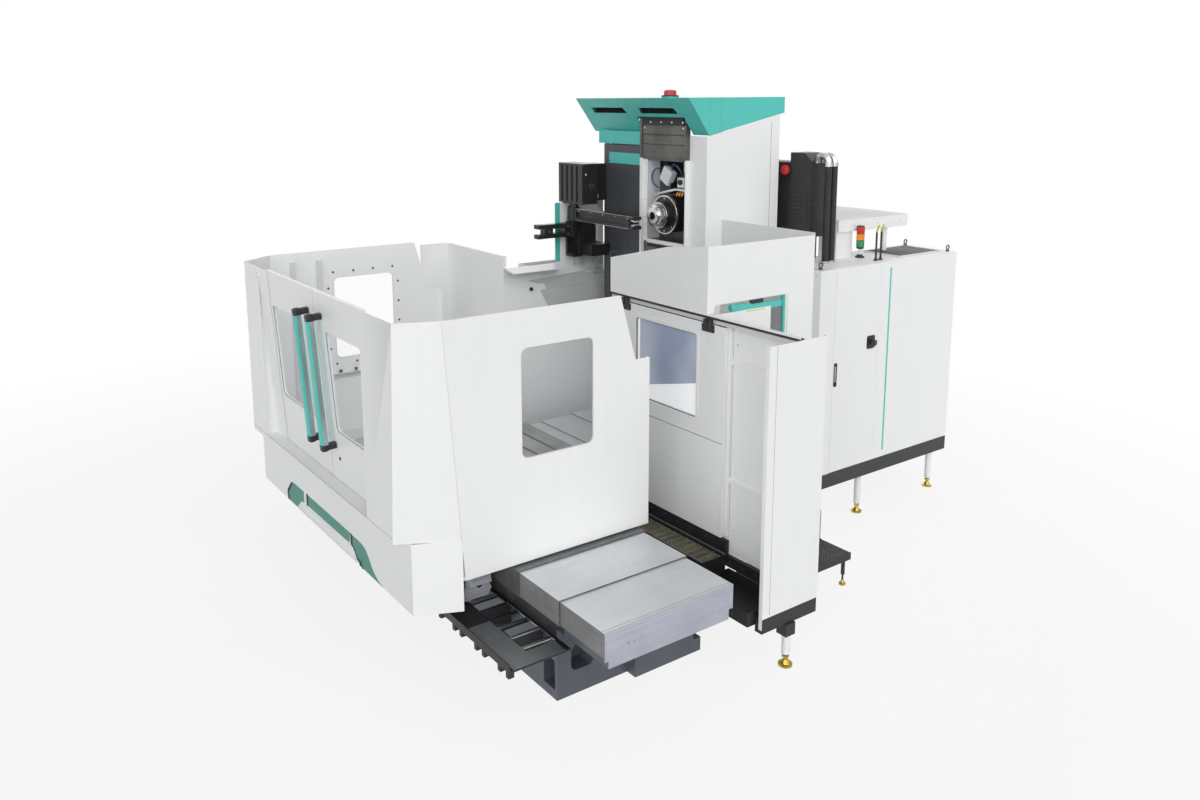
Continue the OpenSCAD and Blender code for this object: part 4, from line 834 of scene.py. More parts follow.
def dressSkirt():
    v = skirtValues
    plane = v["plane"]
    low = sill.z0
    leftFin = [(-0.443, 0.703), (-0.66, 0.700), (-0.695, 0.690), (-0.775, 0.612), (-0.782, 0.590),
               (-0.772, low + 0.002), (-0.560, low + 0.002), (-0.545, 0.570), (-0.500, 0.612),
               (-0.443, 0.620)]
    middle = [(-0.383, v["accentLow"]), (0.379, v["accentLow"] + 0.008), (0.396, 0.704),
              (-0.383, 0.703)]
    curve = flatCurve([(0.600, low + 0.004), (0.520, 0.575), (0.465, 0.622), (0.412, 0.640)])
    crest = flatCurve([(0.412, 0.700), (0.560, 0.699), (0.650, 0.676), (0.735, 0.596),
                       (0.815, 0.551), (0.900, low + 0.002)])
    makePiece("skirtAccents", [(plate, outline, "y", plane - v["proud"], plane + 0.0005)
                               for outline in (leftFin, middle, curve + crest)],
              "saddle", ["deepTealPowderCoat"], 0.0006)
    # Painted shadow: dark strips at the accents' left ends, where the reveals fall in shade
    revealShadows = [
        [(-0.699, 0.694), (-0.786, 0.612), (-0.793, 0.585), (-0.784, low + 0.002),
         (-0.752, low + 0.002), (-0.762, 0.588), (-0.754, 0.606), (-0.680, 0.680)],
        [(-0.390, 0.618), (-0.358, 0.624), (-0.358, 0.703), (-0.390, 0.706)],
        [(0.404, 0.630), (0.434, 0.636), (0.434, 0.699), (0.404, 0.706)],
        [(0.4122, 0.6395)] + curve[::-1][3:] + [(x - 0.012, z - 0.008) for x, z in curve[:-3]]
        + [(0.412, 0.628)]]
    makePiece("skirtRevealShadows", [(plate, outline, "y", plane - v["proud"] - 0.0012, plane + 0.0005)
                               for outline in revealShadows], "saddle", ["blackRubber"])
    # Rounded lip along the lower edge, between the fins: rings that draw in as they stand proud
    outline = flatCurve([(-0.548, 0.548), (-0.520, 0.594), (-0.470, 0.606), (-0.30, 0.608),
                         (0.30, 0.611), (0.405, 0.610), (0.470, 0.590), (0.535, 0.552),
                         (0.560, low + 0.004)]) + [(-0.546, low - 0.001)]
    middleX = sum(x for x, z in outline) / len(outline)
    middleZ = (low + 0.610) / 2
    rings = []
    for depth, pull in v["lip"]:
        ring = []
        for x, z in outline:
            inward = Vector((middleX - x, middleZ - z))
            reach = min(pull, inward.length * 0.6)
            inward.normalize()
            if abs(middleX - x) > 0.1:
                inward = Vector((0, math.copysign(1, middleZ - z)))
            ring.append((x + inward.x * reach, plane + 0.0005 - depth,
                         z + inward.y * min(reach, abs(middleZ - z))))
        rings.append(ring)
    makePiece("skirtLip", [(hull, rings)], "saddle", ["whitePowderCoat"])
    # Seam between the sill box and the skirt, and the folded return beside the left post
    sillZ = v["sillZ"]
    makePiece("skirtSeams", [
        (block, -1.246, 1.235, sill.y0 - 0.0008, sill.y0 + 0.001, sillZ + 0.0335, sillZ + 0.0350),
        (block, -1.19, 1.19, plane - 0.0006, plane + 0.001, sillZ - 0.0025, sillZ - 0.0005)],
        "saddle", ["greyNylon"])
    post = doorBox["left"].x0 - 0.179
    makePiece("postReturn", [
        (block, post - 0.011, post + 0.011, sill.y0 - 0.0015, sill.y0 + 0.004, 1.001,
         sill.z1 - 0.002)], "saddle", ["whitePowderCoat"], 0.0006)
    growFasteners("postReturnScrews",
                  [((post, sill.y0 - 0.002, z), forward) for z in (1.05, 1.09, 2.17, 2.21)],
                  "saddle", radius=0.005, height=0.003, head="anodisedAluminium")


# Side walls: stiffening ribs, a ledge with knobs, and washered screws round each window
wallValues = {
    "ribs": (-0.726, -0.519), "rib": 0.022, "ribHalf": 0.018, "ribZ": (1.02, 2.18),
    "ledge": 0.045, "ledgeZ": 1.235, "knobPitch": 0.13,
    "margin": 0.045, "washer": 0.011,  # the screws' distance from the window, and their washers
    "knob": [(0, 0.006), (0.008, 0.006), (0.012, 0.013), (0.024, 0.013), (0.028, 0.009)]}


def dressWall(side):
    v = wallValues
    box = span("tub_%s_wall" % side)
    facing = 1 if side == "left" else -1
    inner = box.x0 + 0.006 if side == "left" else box.x1 - 0.006
    (y0, y1), (z0, z1) = windows["wall"]
    ledgeZ, margin = v["ledgeZ"], v["margin"]
    name = side + "Wall"
    near, far = sorted((inner, inner + facing * v["rib"]))
    shapes = [(block, near, far, y - v["ribHalf"], y + v["ribHalf"], *v["ribZ"]) for y in v["ribs"]]
    near, far = sorted((inner, inner + facing * v["ledge"]))
    lip = near + 0.003 if facing > 0 else far
    shapes += [(block, near, far, y0 - 0.04, box.y1 - 0.05, ledgeZ, ledgeZ + 0.004),
               (block, near, lip, y0 - 0.04, box.y1 - 0.05, ledgeZ - 0.05, ledgeZ)]
    makePiece(name + "Ribs", shapes, "saddle", ["greyWhitePowderCoat"], 0.001)
    places = [(y, z0 + (z1 - z0) * (k + 0.5) / 4) for k in range(4)
              for y in (y0 - margin, y1 + margin)]
    places += [(y0 + (y1 - y0) * k / 3, z) for k in range(4) for z in (z0 - margin, z1 + margin)]
    for label, lift, radius, height, sides, head, recess in (
            ("Washers", 0.0008, v["washer"], 0.0016, 16, "anodisedAluminium", "anodisedAluminium"),
            ("Screws", 0.003, 0.0062, 0.005, 12, "blackNylon", "blackRubber")):
        growFasteners(name + label, [((inner + facing * lift, y, z), (facing, 0, 0))
                                     for y, z in places], "saddle", "black_sheet", head, recess,
                      radius, height, sides)
    makePiece(name + "Knobs", [
        (lathe, (inner + facing * 0.024, y0 + 0.02 + k * v["knobPitch"], ledgeZ + 0.004), upward,
         v["knob"], 14) for k in range(4)], "saddle", ["blackNylon"])
    makePiece(name + "WindowHem", [
        (frameRing, y0 - 0.0005, y1 + 0.0005, z0 - 0.0005, z1 + 0.0005, 0.045, -0.005, "x",
         inner - facing * 0.0005, inner + facing * 0.002)],
        "saddle", ["greyWhitePowderCoat"])


# Way covers: a dark wiper lip on each free end, and the folds and screws of the end plates
coverValues = {"lip": 0.0014, "sheet": 0.0074, "fold": 0.0022, "folds": (0.0035, 0.0265),
               "screws": (-0.300, -0.262)}


def wiperLip(node, body, end, axis):
    # end is 1 or -1 along the axis
    box = span(node)
    if axis == "x":
        place, half, middle = (box.x1 if end > 0 else box.x0), box.y1, 0
    else:
        place, middle = (box.y1 if end > 0 else box.y0), coverMiddle
        half = box.x1 - middle
    near, far = sorted((place, place + end * coverValues["lip"]))
    sheet = coverValues["sheet"]
    spans = [(-half, half, box.z1 - sheet, box.z1 + 0.0006)]
    spans += [(*sorted((s * half, s * (half - sheet))), box.z0 + 0.004, box.z1 - sheet)
              for s in (-1, 1)]
    shapes = [(block, near, far, low, high, z0, z1) if axis == "x" else
              (block, middle + low, middle + high, near, far, z0, z1)
              for low, high, z0, z1 in spans]
    makePiece(node + ("Right" if end > 0 else "Left") + "Wiper", shapes, body,
              ["darkWiperSteel"])


def dressCovers():
    v = coverValues
    for end, mid in ((1, "x_cover_mid_right"), (-1, "x_cover_mid_left")):
        wiperLip("x_cover_near", "saddle", end, "x")
        wiperLip(mid, mid, end, "x")
    for end in (-1, 1):
        wiperLip("z_cover_near", "column", end, "y")
    for end, node in ((-1, "z_cover_front_1"), (-1, "z_cover_front_2"), (1, "z_cover_rear_1")):
        wiperLip(node, node, end, "y")
    fixed = span("fixed_covers")
    growFasteners("endPlateScrews", [((x + s * 0.001, y, 0.585), (s, 0, 0)) for s, x in
                                     ((-1, fixed.x0), (1, fixed.x1)) for y in v["screws"]],
                  "machine", radius=0.0065, height=0.004, head="anodisedAluminium")
    shapes = []
    for s in (-1, 1):
        for back in v["folds"]:
            x0, x1 = sorted((s * (fixed.x1 - back), s * (fixed.x1 - back - v["fold"])))
            shapes.append((block, x0, x1, -0.455, 0.455, 0.6898, 0.6905))
            shapes += [(block, x0, x1, y, y + 0.0006, 0.485, 0.6900) for y in (-0.4584, 0.4578)]
    makePiece("endPlateFold", shapes, "machine", ["darkWiperSteel"])


coverMiddle = (span("z_cover_near").x0 + span("z_cover_near").x1) / 2
dressSkirt()
dressWall("left")
dressWall("right")
dressCovers()
print("enclosure and covers: accents, ribs, wipers")

# Cable tray: bright ladder plate, stub brackets, the carrier's links and its hoses
trayValues = {
    "stubPitch": 0.262, "stub": (0.030, 0.036, 0.036), "stubStarts": (-1.860, -1.773),
    "rungPitch": 0.12, "rung": (0.020, 0.178, 0.008), "plateEdge": -0.622,
    "linkPitch": 0.083, "link": 0.077, "linkHeight": 0.056, "bar": 0.026, "hose": 0.020}


def dressTray():
    v = trayValues
    tray = span("cable_tray")
    chain = span("cable_chain")
    top, edge, end = tray.z1 - 0.0375, v["plateEdge"], tray.x1 - 0.002
    shapes = [(block, 1.399, end, tray.y0 + 0.028, edge, top, top + 0.003),
              (block, 1.800, end, edge, -0.436, top, top + 0.003),
              (block, 1.270, 1.800, -0.432, -0.422, top, top + 0.006, 1)]
    shapes += [(block, x, x + 0.024, edge, -0.432, top, top + 0.006, 1)
               for x in (1.490, 1.622, 1.752)]
    makePiece("trayPlate", shapes, "machine",
              ["galvanisedSheet", "anodisedAluminium"], 0.0008)
    growRow("trayRungs", (-1.852, -0.52, top + 0.004), (v["rungPitch"], 0, 0), 26, v["rung"],
            "galvanisedSheet", "machine", "ground_steel")
    for name, start in zip(("trayStubs", "traySecondStubs"), v["stubStarts"]):
        growRow(name, (start, tray.y0 + 0.018, tray.z1 - 0.068), (v["stubPitch"], 0, 0), 15,
                v["stub"], "blackPowderCoat", "machine", "black_sheet")
    # The carrier: links that follow its run on the tray, its bend and its upper run
    y = (chain.y0 + chain.y1) / 2
    low = chain.z0 + 0.03
    radius = (chain.z1 - chain.z0) / 2 - 0.03
    bend = chain.x1 - radius - 0.03
    path = [(chain.x0 + 0.02, y, low), (bend, y, low)]
    path += [(bend + radius * math.sin(math.radians(a)), y,
              low + radius - radius * math.cos(math.radians(a))) for a in range(12, 180, 12)]
    path += [(bend, y, low + 2 * radius), (0.10, y, low + 2 * radius)]
    data = bpy.data.meshes.new("carrierLinks")
    data.from_pydata(path, [(i, i + 1) for i in range(len(path) - 1)], [])
    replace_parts(growPiece("carrierLinks", data, linkTree, "machine", "black_plastic",
                          Pitch=v["linkPitch"], Length=v["link"], Bar=v["bar"],
                          Width=chain.y1 - chain.y0 - 0.004, Height=v["linkHeight"],
                          Shell="paleNylon", Bars="lilacNylon"), "cable_chain")
    makePiece("carrierHoses", [(tube, path, v["hose"], 8, 0, False)], "machine",
              ["blackRubber"])


# Chip conveyor: cleats, punched holes and studs on every plate, its rims and the tray's roller
beltValues = {"pitch": 0.063, "plates": 22, "top": 0.500, "cleat": (0.008, 0.172, 0.007),
              "hole": 0.0062, "stud": 0.0055}


def dressBelt():
    v = beltValues
    start, pitch, top = span("chip_belt").x0, v["pitch"], v["top"]
    growRow("beltCleats", (start + pitch * 0.55, 0.825, top + 0.0035), (pitch, 0, 0), v["plates"],
            v["cleat"], "stainedBeltSteel", "machine", "dark_steel")
    growHoles("beltHoles", (start + 0.018, 0.751, top + 0.0004), (pitch, 0, 0), v["plates"],
              (0, 0.0212, 0), 8, v["hole"], upward, "blackRubber", "machine", "dark_steel",
              height=0.0014, sides=10)
    growHoles("beltStuds", (start + 0.048, 0.751, top + 0.0014), (pitch, 0, 0), v["plates"],
              (0, 0.0296, 0), 6, v["stud"], upward, "milledTableIron", "machine", "dark_steel",
              height=0.0028, sides=8)
    makePiece("conveyorRims", [
        (block, 0.350, 1.755, y - 0.004, y + 0.006, 0.5195, 0.5235)
        for y in (span("chip_conveyor").y0 + 0.085, 0.925)],
        "machine", ["galvanisedSheet"], 0.0006)
    makePiece("trayRoller", [
        (lathe, (1.800, 0.655, 0.270), forward, [(0, 0.032), (0.006, 0.032), (0.008, 0.020)], 24),
        (lathe, (1.800, 0.735, 0.270), (0, 1, 0), [(-0.078, 0.026), (0.004, 0.026)], 24, 1)],
        "machine", ["blackRubber", "galvanisedSheet"])


dressTray()
dressBelt()
print("tray and conveyor: links, rungs, cleats")

# Bed: plugs in the lifting pockets
bedValues = {"footEnd": 1.7762, "plug": 0.012, "plugY": (-0.18, 0.18), "plugZ": 0.36}
growFasteners("bedPlugs", [((bedValues["footEnd"], y, bedValues["plugZ"]), rightward)
                           for y in bedValues["plugY"]], "machine", radius=bedValues["plug"],
              height=0.004, head="whiteNylon", recess="whiteNylon")

# Column: the teal plate, the panel's crease, slot linings in the cap and the beacon's dome
columnValues = {
    "plateZ": (2.888, 2.982), "plateScrews": ((-0.795, -0.36), (2.905, 2.966)),
    "creaseZ": 2.293, "seamY": 2.594, "slotX": (-0.897, -0.250), "fins": 12, "finPitch": 0.038,
    "capTop": 3.440, "beaconX": -0.005, "cageBars": 10, "cage": 0.048,
    "dome": [(0, 0.0475), (0.004, 0.047), (0.009, 0.040), (0.012, 0.026)],
    "foot": [(0, 0.0705), (0.0025, 0.0705), (0.006, 0.054)]}


def dressColumn():
    v = columnValues
    face = column.y0
    side = span("column_sheet").x1
    makePiece("columnPlate", [
        (plate, roundOutline(-0.814, column.x1 - 0.004, *v["plateZ"], 0.004, 3), "y",
         face - 0.0035, face + 0.0005)], "column", ["tealPowderCoat"], 0.0008)
    growFasteners("columnPlateScrews", [((x, face - 0.0045, z), forward)
                                        for x in v["plateScrews"][0] for z in v["plateScrews"][1]],
                  "column", radius=0.005, height=0.003)
    crease, seam = v["creaseZ"], v["seamY"]
    makePiece("columnSeams", [
        (block, column.x0 + 0.002, column.x1 - 0.001, face - 0.0012, face + 0.0005,
         crease - 0.002, crease + 0.002),
        (block, column.x0 + 0.14, column.x0 + 0.1425, face - 0.0008, face + 0.0005, 0.78, 2.89),
        (block, side - 0.0005, side + 0.0007, seam - 0.0014, seam + 0.0014, 0.73, 3.245)],
        "column", ["darkWiperSteel"])
    # Lining behind the cap's two slots, with louvre fins
    shapes = []
    for x in v["slotX"]:
        shapes.append((block, x - 0.008, x + 0.470, 1.838, 1.842, 3.300, 3.385))
        shapes += [(block, a, a + 0.004, 1.802, 1.839, 3.316, 3.364, 1)
                   for a in (x + 0.020 + k * v["finPitch"] for k in range(v["fins"]))]
    makePiece("capSlotLining", shapes, "column", ["greyNylon", "blackNylon"])
    # The beacon: its dome, the cage round it and its foot
    middle, top = v["beaconX"], v["capTop"]
    shapes = [(lathe, (middle, face, top + 0.0535), upward, v["dome"]),
              (lathe, (middle, face, top + 0.0175), upward, v["foot"], 32, 1)]
    for k in range(v["cageBars"]):
        a = 2 * math.pi * k / v["cageBars"]
        x, y = middle + v["cage"] * math.cos(a), face + v["cage"] * math.sin(a)
        shapes.append((block, x - 0.0022, x + 0.0022, y - 0.0022, y + 0.0022, top + 0.019,
                       top + 0.053))
    makePiece("beaconDome", shapes, "column", ["redAcetal", "blackNylon"])


# Shutters: fold lines, rivets, the perforated strip with its lamps, and the opening's frame
shutterValues = {
    "sheetY": 1.866, "x": (-0.309, 0.232), "folds": (3.072, 3.150), "fold": 0.007,
    "strip": (3.226, 3.3245), "lamps": 4, "lampPitch": 0.132, "lamp": 0.0085, "hole": 0.0034,
    "opening": (2.285, 2.94), "screwPitch": 0.145}


def dressShutters():
    v = shutterValues
    y, (left, right), strip = v["sheetY"], v["x"], guides.y0
    makePiece("shutterFolds", [
        (plate, [(y - 0.0045, z), (y + 0.0005, z + v["fold"]), (y + 0.0005, z - v["fold"])], "x",
         left, right) for z in v["folds"]], "column", ["rolledShutterSheet"])
    growFasteners("shutterRivets", [((x, y - 0.0012, 3.203), forward)
                                    for x in (left + 0.03, right - 0.03)], "column", height=0.004,
                  head="groundShaftSteel", recess="groundShaftSteel")
    makePiece("stripSkirt", [(block, left + 0.0145, right - 0.0140, strip - 0.0008,
                              strip + 0.0195, *v["strip"])],
              "column", ["blackRubber"], 0.0015)
    growFasteners("stripLamps", [((left + 0.13 + k * v["lampPitch"], strip - 0.0018, 3.249),
                                  forward) for k in range(v["lamps"])], "column", "black_sheet",
                  "whiteNylon", "whiteNylon", v["lamp"], 0.003, socket=0.7)
    growHoles("stripHoles", (left + 0.05, strip - 0.0014, 3.266), (0.0146, 0, 0), 30,
              (0, 0, 0.0123), 4, v["hole"], forward, "blackRubber", "column", "black_sheet")
    # Frame of the spindle opening on the travelling shutter
    sheet = shutter.y0
    low, high = v["opening"]
    near, far = sheet - 0.0028, sheet + 0.0002
    makePiece("openingTrim", [
        (block, -0.3095, -0.262, near, far, low - 0.02, high + 0.01),
        (block, -0.262, 0.2, near, sheet + 0.012, low - 0.030, low + 0.001),
        (block, -0.262, 0.2, sheet - 0.0024, far, low - 0.062, low - 0.038, 2),
        (block, 0.2055, 0.2245, near, far, low - 0.02, high + 0.01)],
        "headstock", ["whitePowderCoat", "galvanisedSheet", "blackRubber"], 0.0006)
    growFasteners("openingTrimScrews", [((-0.289, sheet - 0.0038, 2.32 + k * v["screwPitch"]),
                                         forward) for k in range(5)], "headstock",
                  radius=0.005, height=0.003, head="groundShaftSteel")


# Spindle: rings, face bolts and gripper, with the coolant valve, hoses and nozzles above them
spindleValues = {
    "ringY": 1.848, "ringBolts": (8, 0.132, 0), "noseBolts": (6, 0.078, 0.5),  # count, reach, turn
    "hose": 0.0062, "nozzles": (0.090, 0.120, 0.150), "valveTurn": 0.52,
    # the hoses' points: across, along the spindle, and above its axis
    "longHose": ((-0.085, 1.925, 0.345), (-0.175, 1.912, 0.362), (-0.236, 1.915, 0.315),
                 (-0.236, 1.922, 0.245), (-0.185, 1.935, 0.203), (-0.115, 1.950, 0.207),
                 (-0.060, 1.985, 0.225), (-0.040, 2.022, 0.240)),
    "shortHose": ((0.000, 1.925, 0.360), (0.030, 1.908, 0.405), (0.085, 1.905, 0.392),
                  (0.108, 1.930, 0.345), (0.085, 1.975, 0.310), (0.070, 1.990, 0.298))}


def boltRing(y, count, reach, turn):
    angles = [2 * math.pi * (k + turn) / count for k in range(count)]
    return [((reach * math.sin(a), y, spindleZ + reach * math.cos(a)), forward) for a in angles]


def dressSpindle():
    v = spindleValues
    z = spindleZ
    nose = span("boring_bar").y0
    makePiece("ringRim", [
        (lathe, (0, v["ringY"] + 0.0002, z), forward,
         [(0, 0.158), (0.0012, 0.1575), (0.0012, 0.148), (0, 0.148)], 64)],
        "milling_sleeve", ["groundShaftSteel"])
    growFasteners("ringBolts", boltRing(v["ringY"] + 0.0045, *v["ringBolts"]), "milling_sleeve",
                  "ground_steel", "groundShaftSteel", radius=0.0080, height=0.010)
    growFasteners("noseBolts", boltRing(nose + 0.0148, *v["noseBolts"]), "boring_bar",
                  "ground_steel", "blackNylon", "groundShaftSteel", 0.0072, 0.004)
    # Drawbar gripper seen at the bottom of the taper, and the taper's bright rim
    makePiece("drawbarGripper", [
        (lathe, (0, nose + 0.108, z), forward,
         [(0, 0.030), (0.03, 0.0305), (0.034, 0.018), (0.05, 0.014)], 24),
        (lathe, (0, nose + 0.0002, z), forward,
         [(0, 0.0395), (0.0009, 0.039), (0.0009, 0.0315), (0, 0.0312)], 48, 1)],
        "boring_bar", ["oiledBlackSteel", "groundShaftSteel"])
    # Coolant valve, turned on its bracket, with its fitting and plug
    mesh = bmesh.new()
    block(mesh, -0.058, 0.058, -0.028, 0.028, -0.062, 0.062)
    bmesh.ops.transform(mesh, matrix=Matrix.Translation((-0.055, 1.930, z + 0.308))
                        @ Matrix.Rotation(v["valveTurn"], 4, "Y"), verts=mesh.verts)
    block(mesh, 0.035, 0.120, 1.950, 2.022, z + 0.215, z + 0.300, 1)
    lathe(mesh, (0.075, 1.952, z + 0.262), forward, [(0, 0.022), (0.014, 0.022), (0.018, 0.014)],
          16, 2)
    bmesh.ops.recalc_face_normals(mesh, faces=mesh.faces)
    finishPiece("coolantValve", mesh, "headstock",
                ["whiteNylon", "anodisedAluminium", "blackNylon"], 0.004)
    makePiece("coolantHoses", [(tube, [(x, y, z + up) for x, y, up in v[name]], v["hose"])
                               for name in ("longHose", "shortHose")],
              "headstock", ["bluePolyurethane"])
    bar = [(-0.200, z + 0.138), (0.062, z + 0.196), (0.190, z + 0.196), (0.190, z + 0.214),
           (0.058, z + 0.214), (-0.204, z + 0.156)]
    shapes = [(plate, bar, "y", 1.905, 1.932),
              (block, 0.118, 0.134, 1.934, 2.022, z + 0.186, z + 0.208)]
    shapes += [(lathe, (x, 1.916, z + 0.184), (-0.25, -0.35, -1),
                [(0, 0.0075), (0.022, 0.0075), (0.036, 0.0035)], 12, 1) for x in v["nozzles"]]
    makePiece("nozzleBar", shapes, "headstock", ["groundRailSteel", "orangeLens"],
              0.0015)


# Tool changer: bright edge of the arm, gripper fingers, fork prongs and small fittings
changerValues = {
    "armZ": (2.385, 2.505), "armY": (1.600, 1.690), "tip": -0.096, "hubX": -0.985,
    "screwPitch": 0.17, "forkZ": (2.250, 2.335), "cylinder": (-0.860, 1.800, 2.600)}


def dressChanger():
    v = changerValues
    (low, high), (y0, y1), tip, hub = v["armZ"], v["armY"], v["tip"], v["hubX"]
    makePiece("armEdge", [
        (block, -0.90, tip - 0.004, y0 - 0.0012, y0 + 0.012, high - 0.0088, high - 0.0066),
        (block, -0.90, tip - 0.06, y0 - 0.0010, y0 + 0.001, low + 0.010, low + 0.013)],
        "changer_arm", ["groundRailSteel"])
    # Half widths of a finger along its length, from the middle of the arm
    finger = ((-0.05, 0.026), (-0.012, 0.026), (-0.002, 0.020), (-0.002, 0.006),
              (-0.016, 0.013), (-0.05, 0.013))
    makePiece("armFingers", [
        (plate, [(tip + x, (low + high) / 2 + s * z) for x, z in finger], "y", y0 + 0.015,
         y1 - 0.015) for s in (-1, 1)], "changer_arm", ["groundShaftSteel"], 0.0012)
    growFasteners("armScrews", [((hub + 0.14 + k * v["screwPitch"], y0 - 0.0015, high - 0.0225),
                                 forward) for k in range(5)], "changer_arm",
                  radius=0.006, height=0.003, head="groundShaftSteel")
    growFasteners("armHub", [((hub, 1.645, high + 0.0445), upward)], "column", radius=0.030,
                  height=0.004, sides=6, head="groundShaftSteel")
    # Waiting fork: dark prong linings and their pivots
    makePiece("forkTips", [(block, -1.022, -0.948, 1.247, 1.300, z - 0.0006, z + 0.0356)
                           for z in v["forkZ"]], "column", ["blackNylon"], 0.002)
    growFasteners("forkPivots", [((-0.9485, y, z), rightward) for y, z in
                                 ((1.36, 2.31), (1.555, 2.275), (1.555, 2.345))], "column",
                  radius=0.010, height=0.005, head="groundShaftSteel")
    x, y, z = v["cylinder"]
    makePiece("changerCylinder", [
        (lathe, v["cylinder"], forward, [(0, 0.018), (0.004, 0.026), (0.070, 0.026),
                                         (0.074, 0.018)], 24),
        (block, x - 0.006, x + 0.006, y - 0.010, y + 0.0995, z - 0.012, z + 0.030, 1)],
        "column", ["whiteNylon", "blackNylon"], 0.0008)
    side = span("changer_body").x1
    growFasteners("changerLamp", [((side + 0.0005, 1.60, 2.80), rightward)], "column",
                  radius=0.009, height=0.003, head="whiteNylon", recess="whiteNylon")
    growFasteners("changerRing", [((side + 0.0005, 1.66, 2.70), rightward)], "column",
                  radius=0.024, height=0.003, sides=24, head="darkWiperSteel", recess="blackNylon",
                  socket=0.7)
    growFasteners("changerScrews", [((side + 0.0008, y, z), rightward) for y in (1.575, 1.71)
                                    for z in (2.565, 2.87)], "column",
                  radius=0.006, height=0.003, head="darkWiperSteel")


dressColumn()
dressShutters()
dressSpindle()
dressChanger()
print("column: plate, shutters, spindle fittings, changer")

# Guards: fittings behind the left opening, the door's frame and hangers, the fixed panels' seams
leftGuardValues = {
    "face": -1.060,  # inner sheet of the guard
    "hatchY": (1.700, 1.966), "hatchZ": (2.066, 2.385), "stripZ": (2.020, 2.5405)}


def panelScrews(name, places, radius=0.007, height=0.004):
    # White-capped screws of the fixed sheets
    growFasteners(name, places, "machine", "white_sheet", "whiteNylon", "greyNylon", radius, height)


def dressLeftGuard():
    v = leftGuardValues
    face, (z0, z1) = v["face"], v["stripZ"]
    makePiece("changerHatch", [
        (block, face - 0.030, face - 0.004, *v["hatchY"], *v["hatchZ"]),
        (plate, roundOutline(1.745, 1.921, 2.112, 2.340, 0.04), "x", face - 0.004, face - 0.0026,
         1)],
        "machine", ["blackPowderCoat", "blackNylon"], 0.001)
    makePiece("guardStrips", [
        (block, face - 0.0002, face + 0.0022, 1.4915, 1.541, z0, z1),
        (block, face - 0.0002, face + 0.0014, 1.541, 1.578, z0, z1, 1),
        (block, face - 0.0032, face - 0.0002, 1.4905, 1.4915, 2.0, z1)],
        "machine", ["tealPowderCoat", "whitePowderCoat"], 0.0005)
    # Raised edge of the leaning deflector, and a knob on the wall below it
    mesh = bmesh.new()
    block(mesh, 0.000, 0.155, 0.962, 0.974, 0.0, 0.010, 1)
    bmesh.ops.transform(mesh, matrix=Matrix.Translation((face, 0, 2.0102))
                        @ Matrix.Rotation(math.atan2(0.025, 0.155), 4, "Y"), verts=mesh.verts)
    lathe(mesh, (face - 0.0005, 1.234, 1.805), rightward,
          [(0, 0.016), (0.012, 0.016), (0.020, 0.011)], 20)
    bmesh.ops.recalc_face_normals(mesh, faces=mesh.faces)
    finishPiece("deflectorEdge", mesh, "machine", ["blackNylon", "whitePowderCoat"],
                0.0008)
    # Splash sheets on the inner wall: a dull one below and a brighter one under the changer
    lower = [(1.200, 1.880), (1.400, 1.892), (1.797, 1.914), (2.008, 1.772), (2.008, 1.560),
             (1.450, 1.560), (1.330, 1.782), (1.390, 1.792), (1.372, 1.840), (1.300, 1.850)]
    upper = [(1.675, 2.090), (1.685, 1.972), (1.800, 1.914), (2.008, 1.772), (2.008, 2.090)]
    makePiece("splashSheets", [(plate, lower, "x", face - 0.0002, face + 0.0030),
                               (plate, upper, "x", face - 0.0002, face + 0.0022, 1)],
              "machine", ["dullGalvanisedSheet", "mottledSheet"], 0.0006)
    places = [((face + 0.0012, y, z), rightward) for y in (1.62, 1.80, 1.98)
              for z in (0.60, 1.20, 1.90)]
    places += [((x, span("left_guard").y0 + 0.259, z), forward) for x in (-2.02, -1.60, -1.16)
               for z in (0.46, 1.25, 2.04)]
    panelScrews("leftGuardScrews", places)


guardDoorValues = {
    "trim": 0.024, "trimProud": 0.004, "foldZ": 1.240, "hangers": (0.645, 1.515),
    "leafX": (0.562, 1.668), "film": (0.0112, 0.0118)}


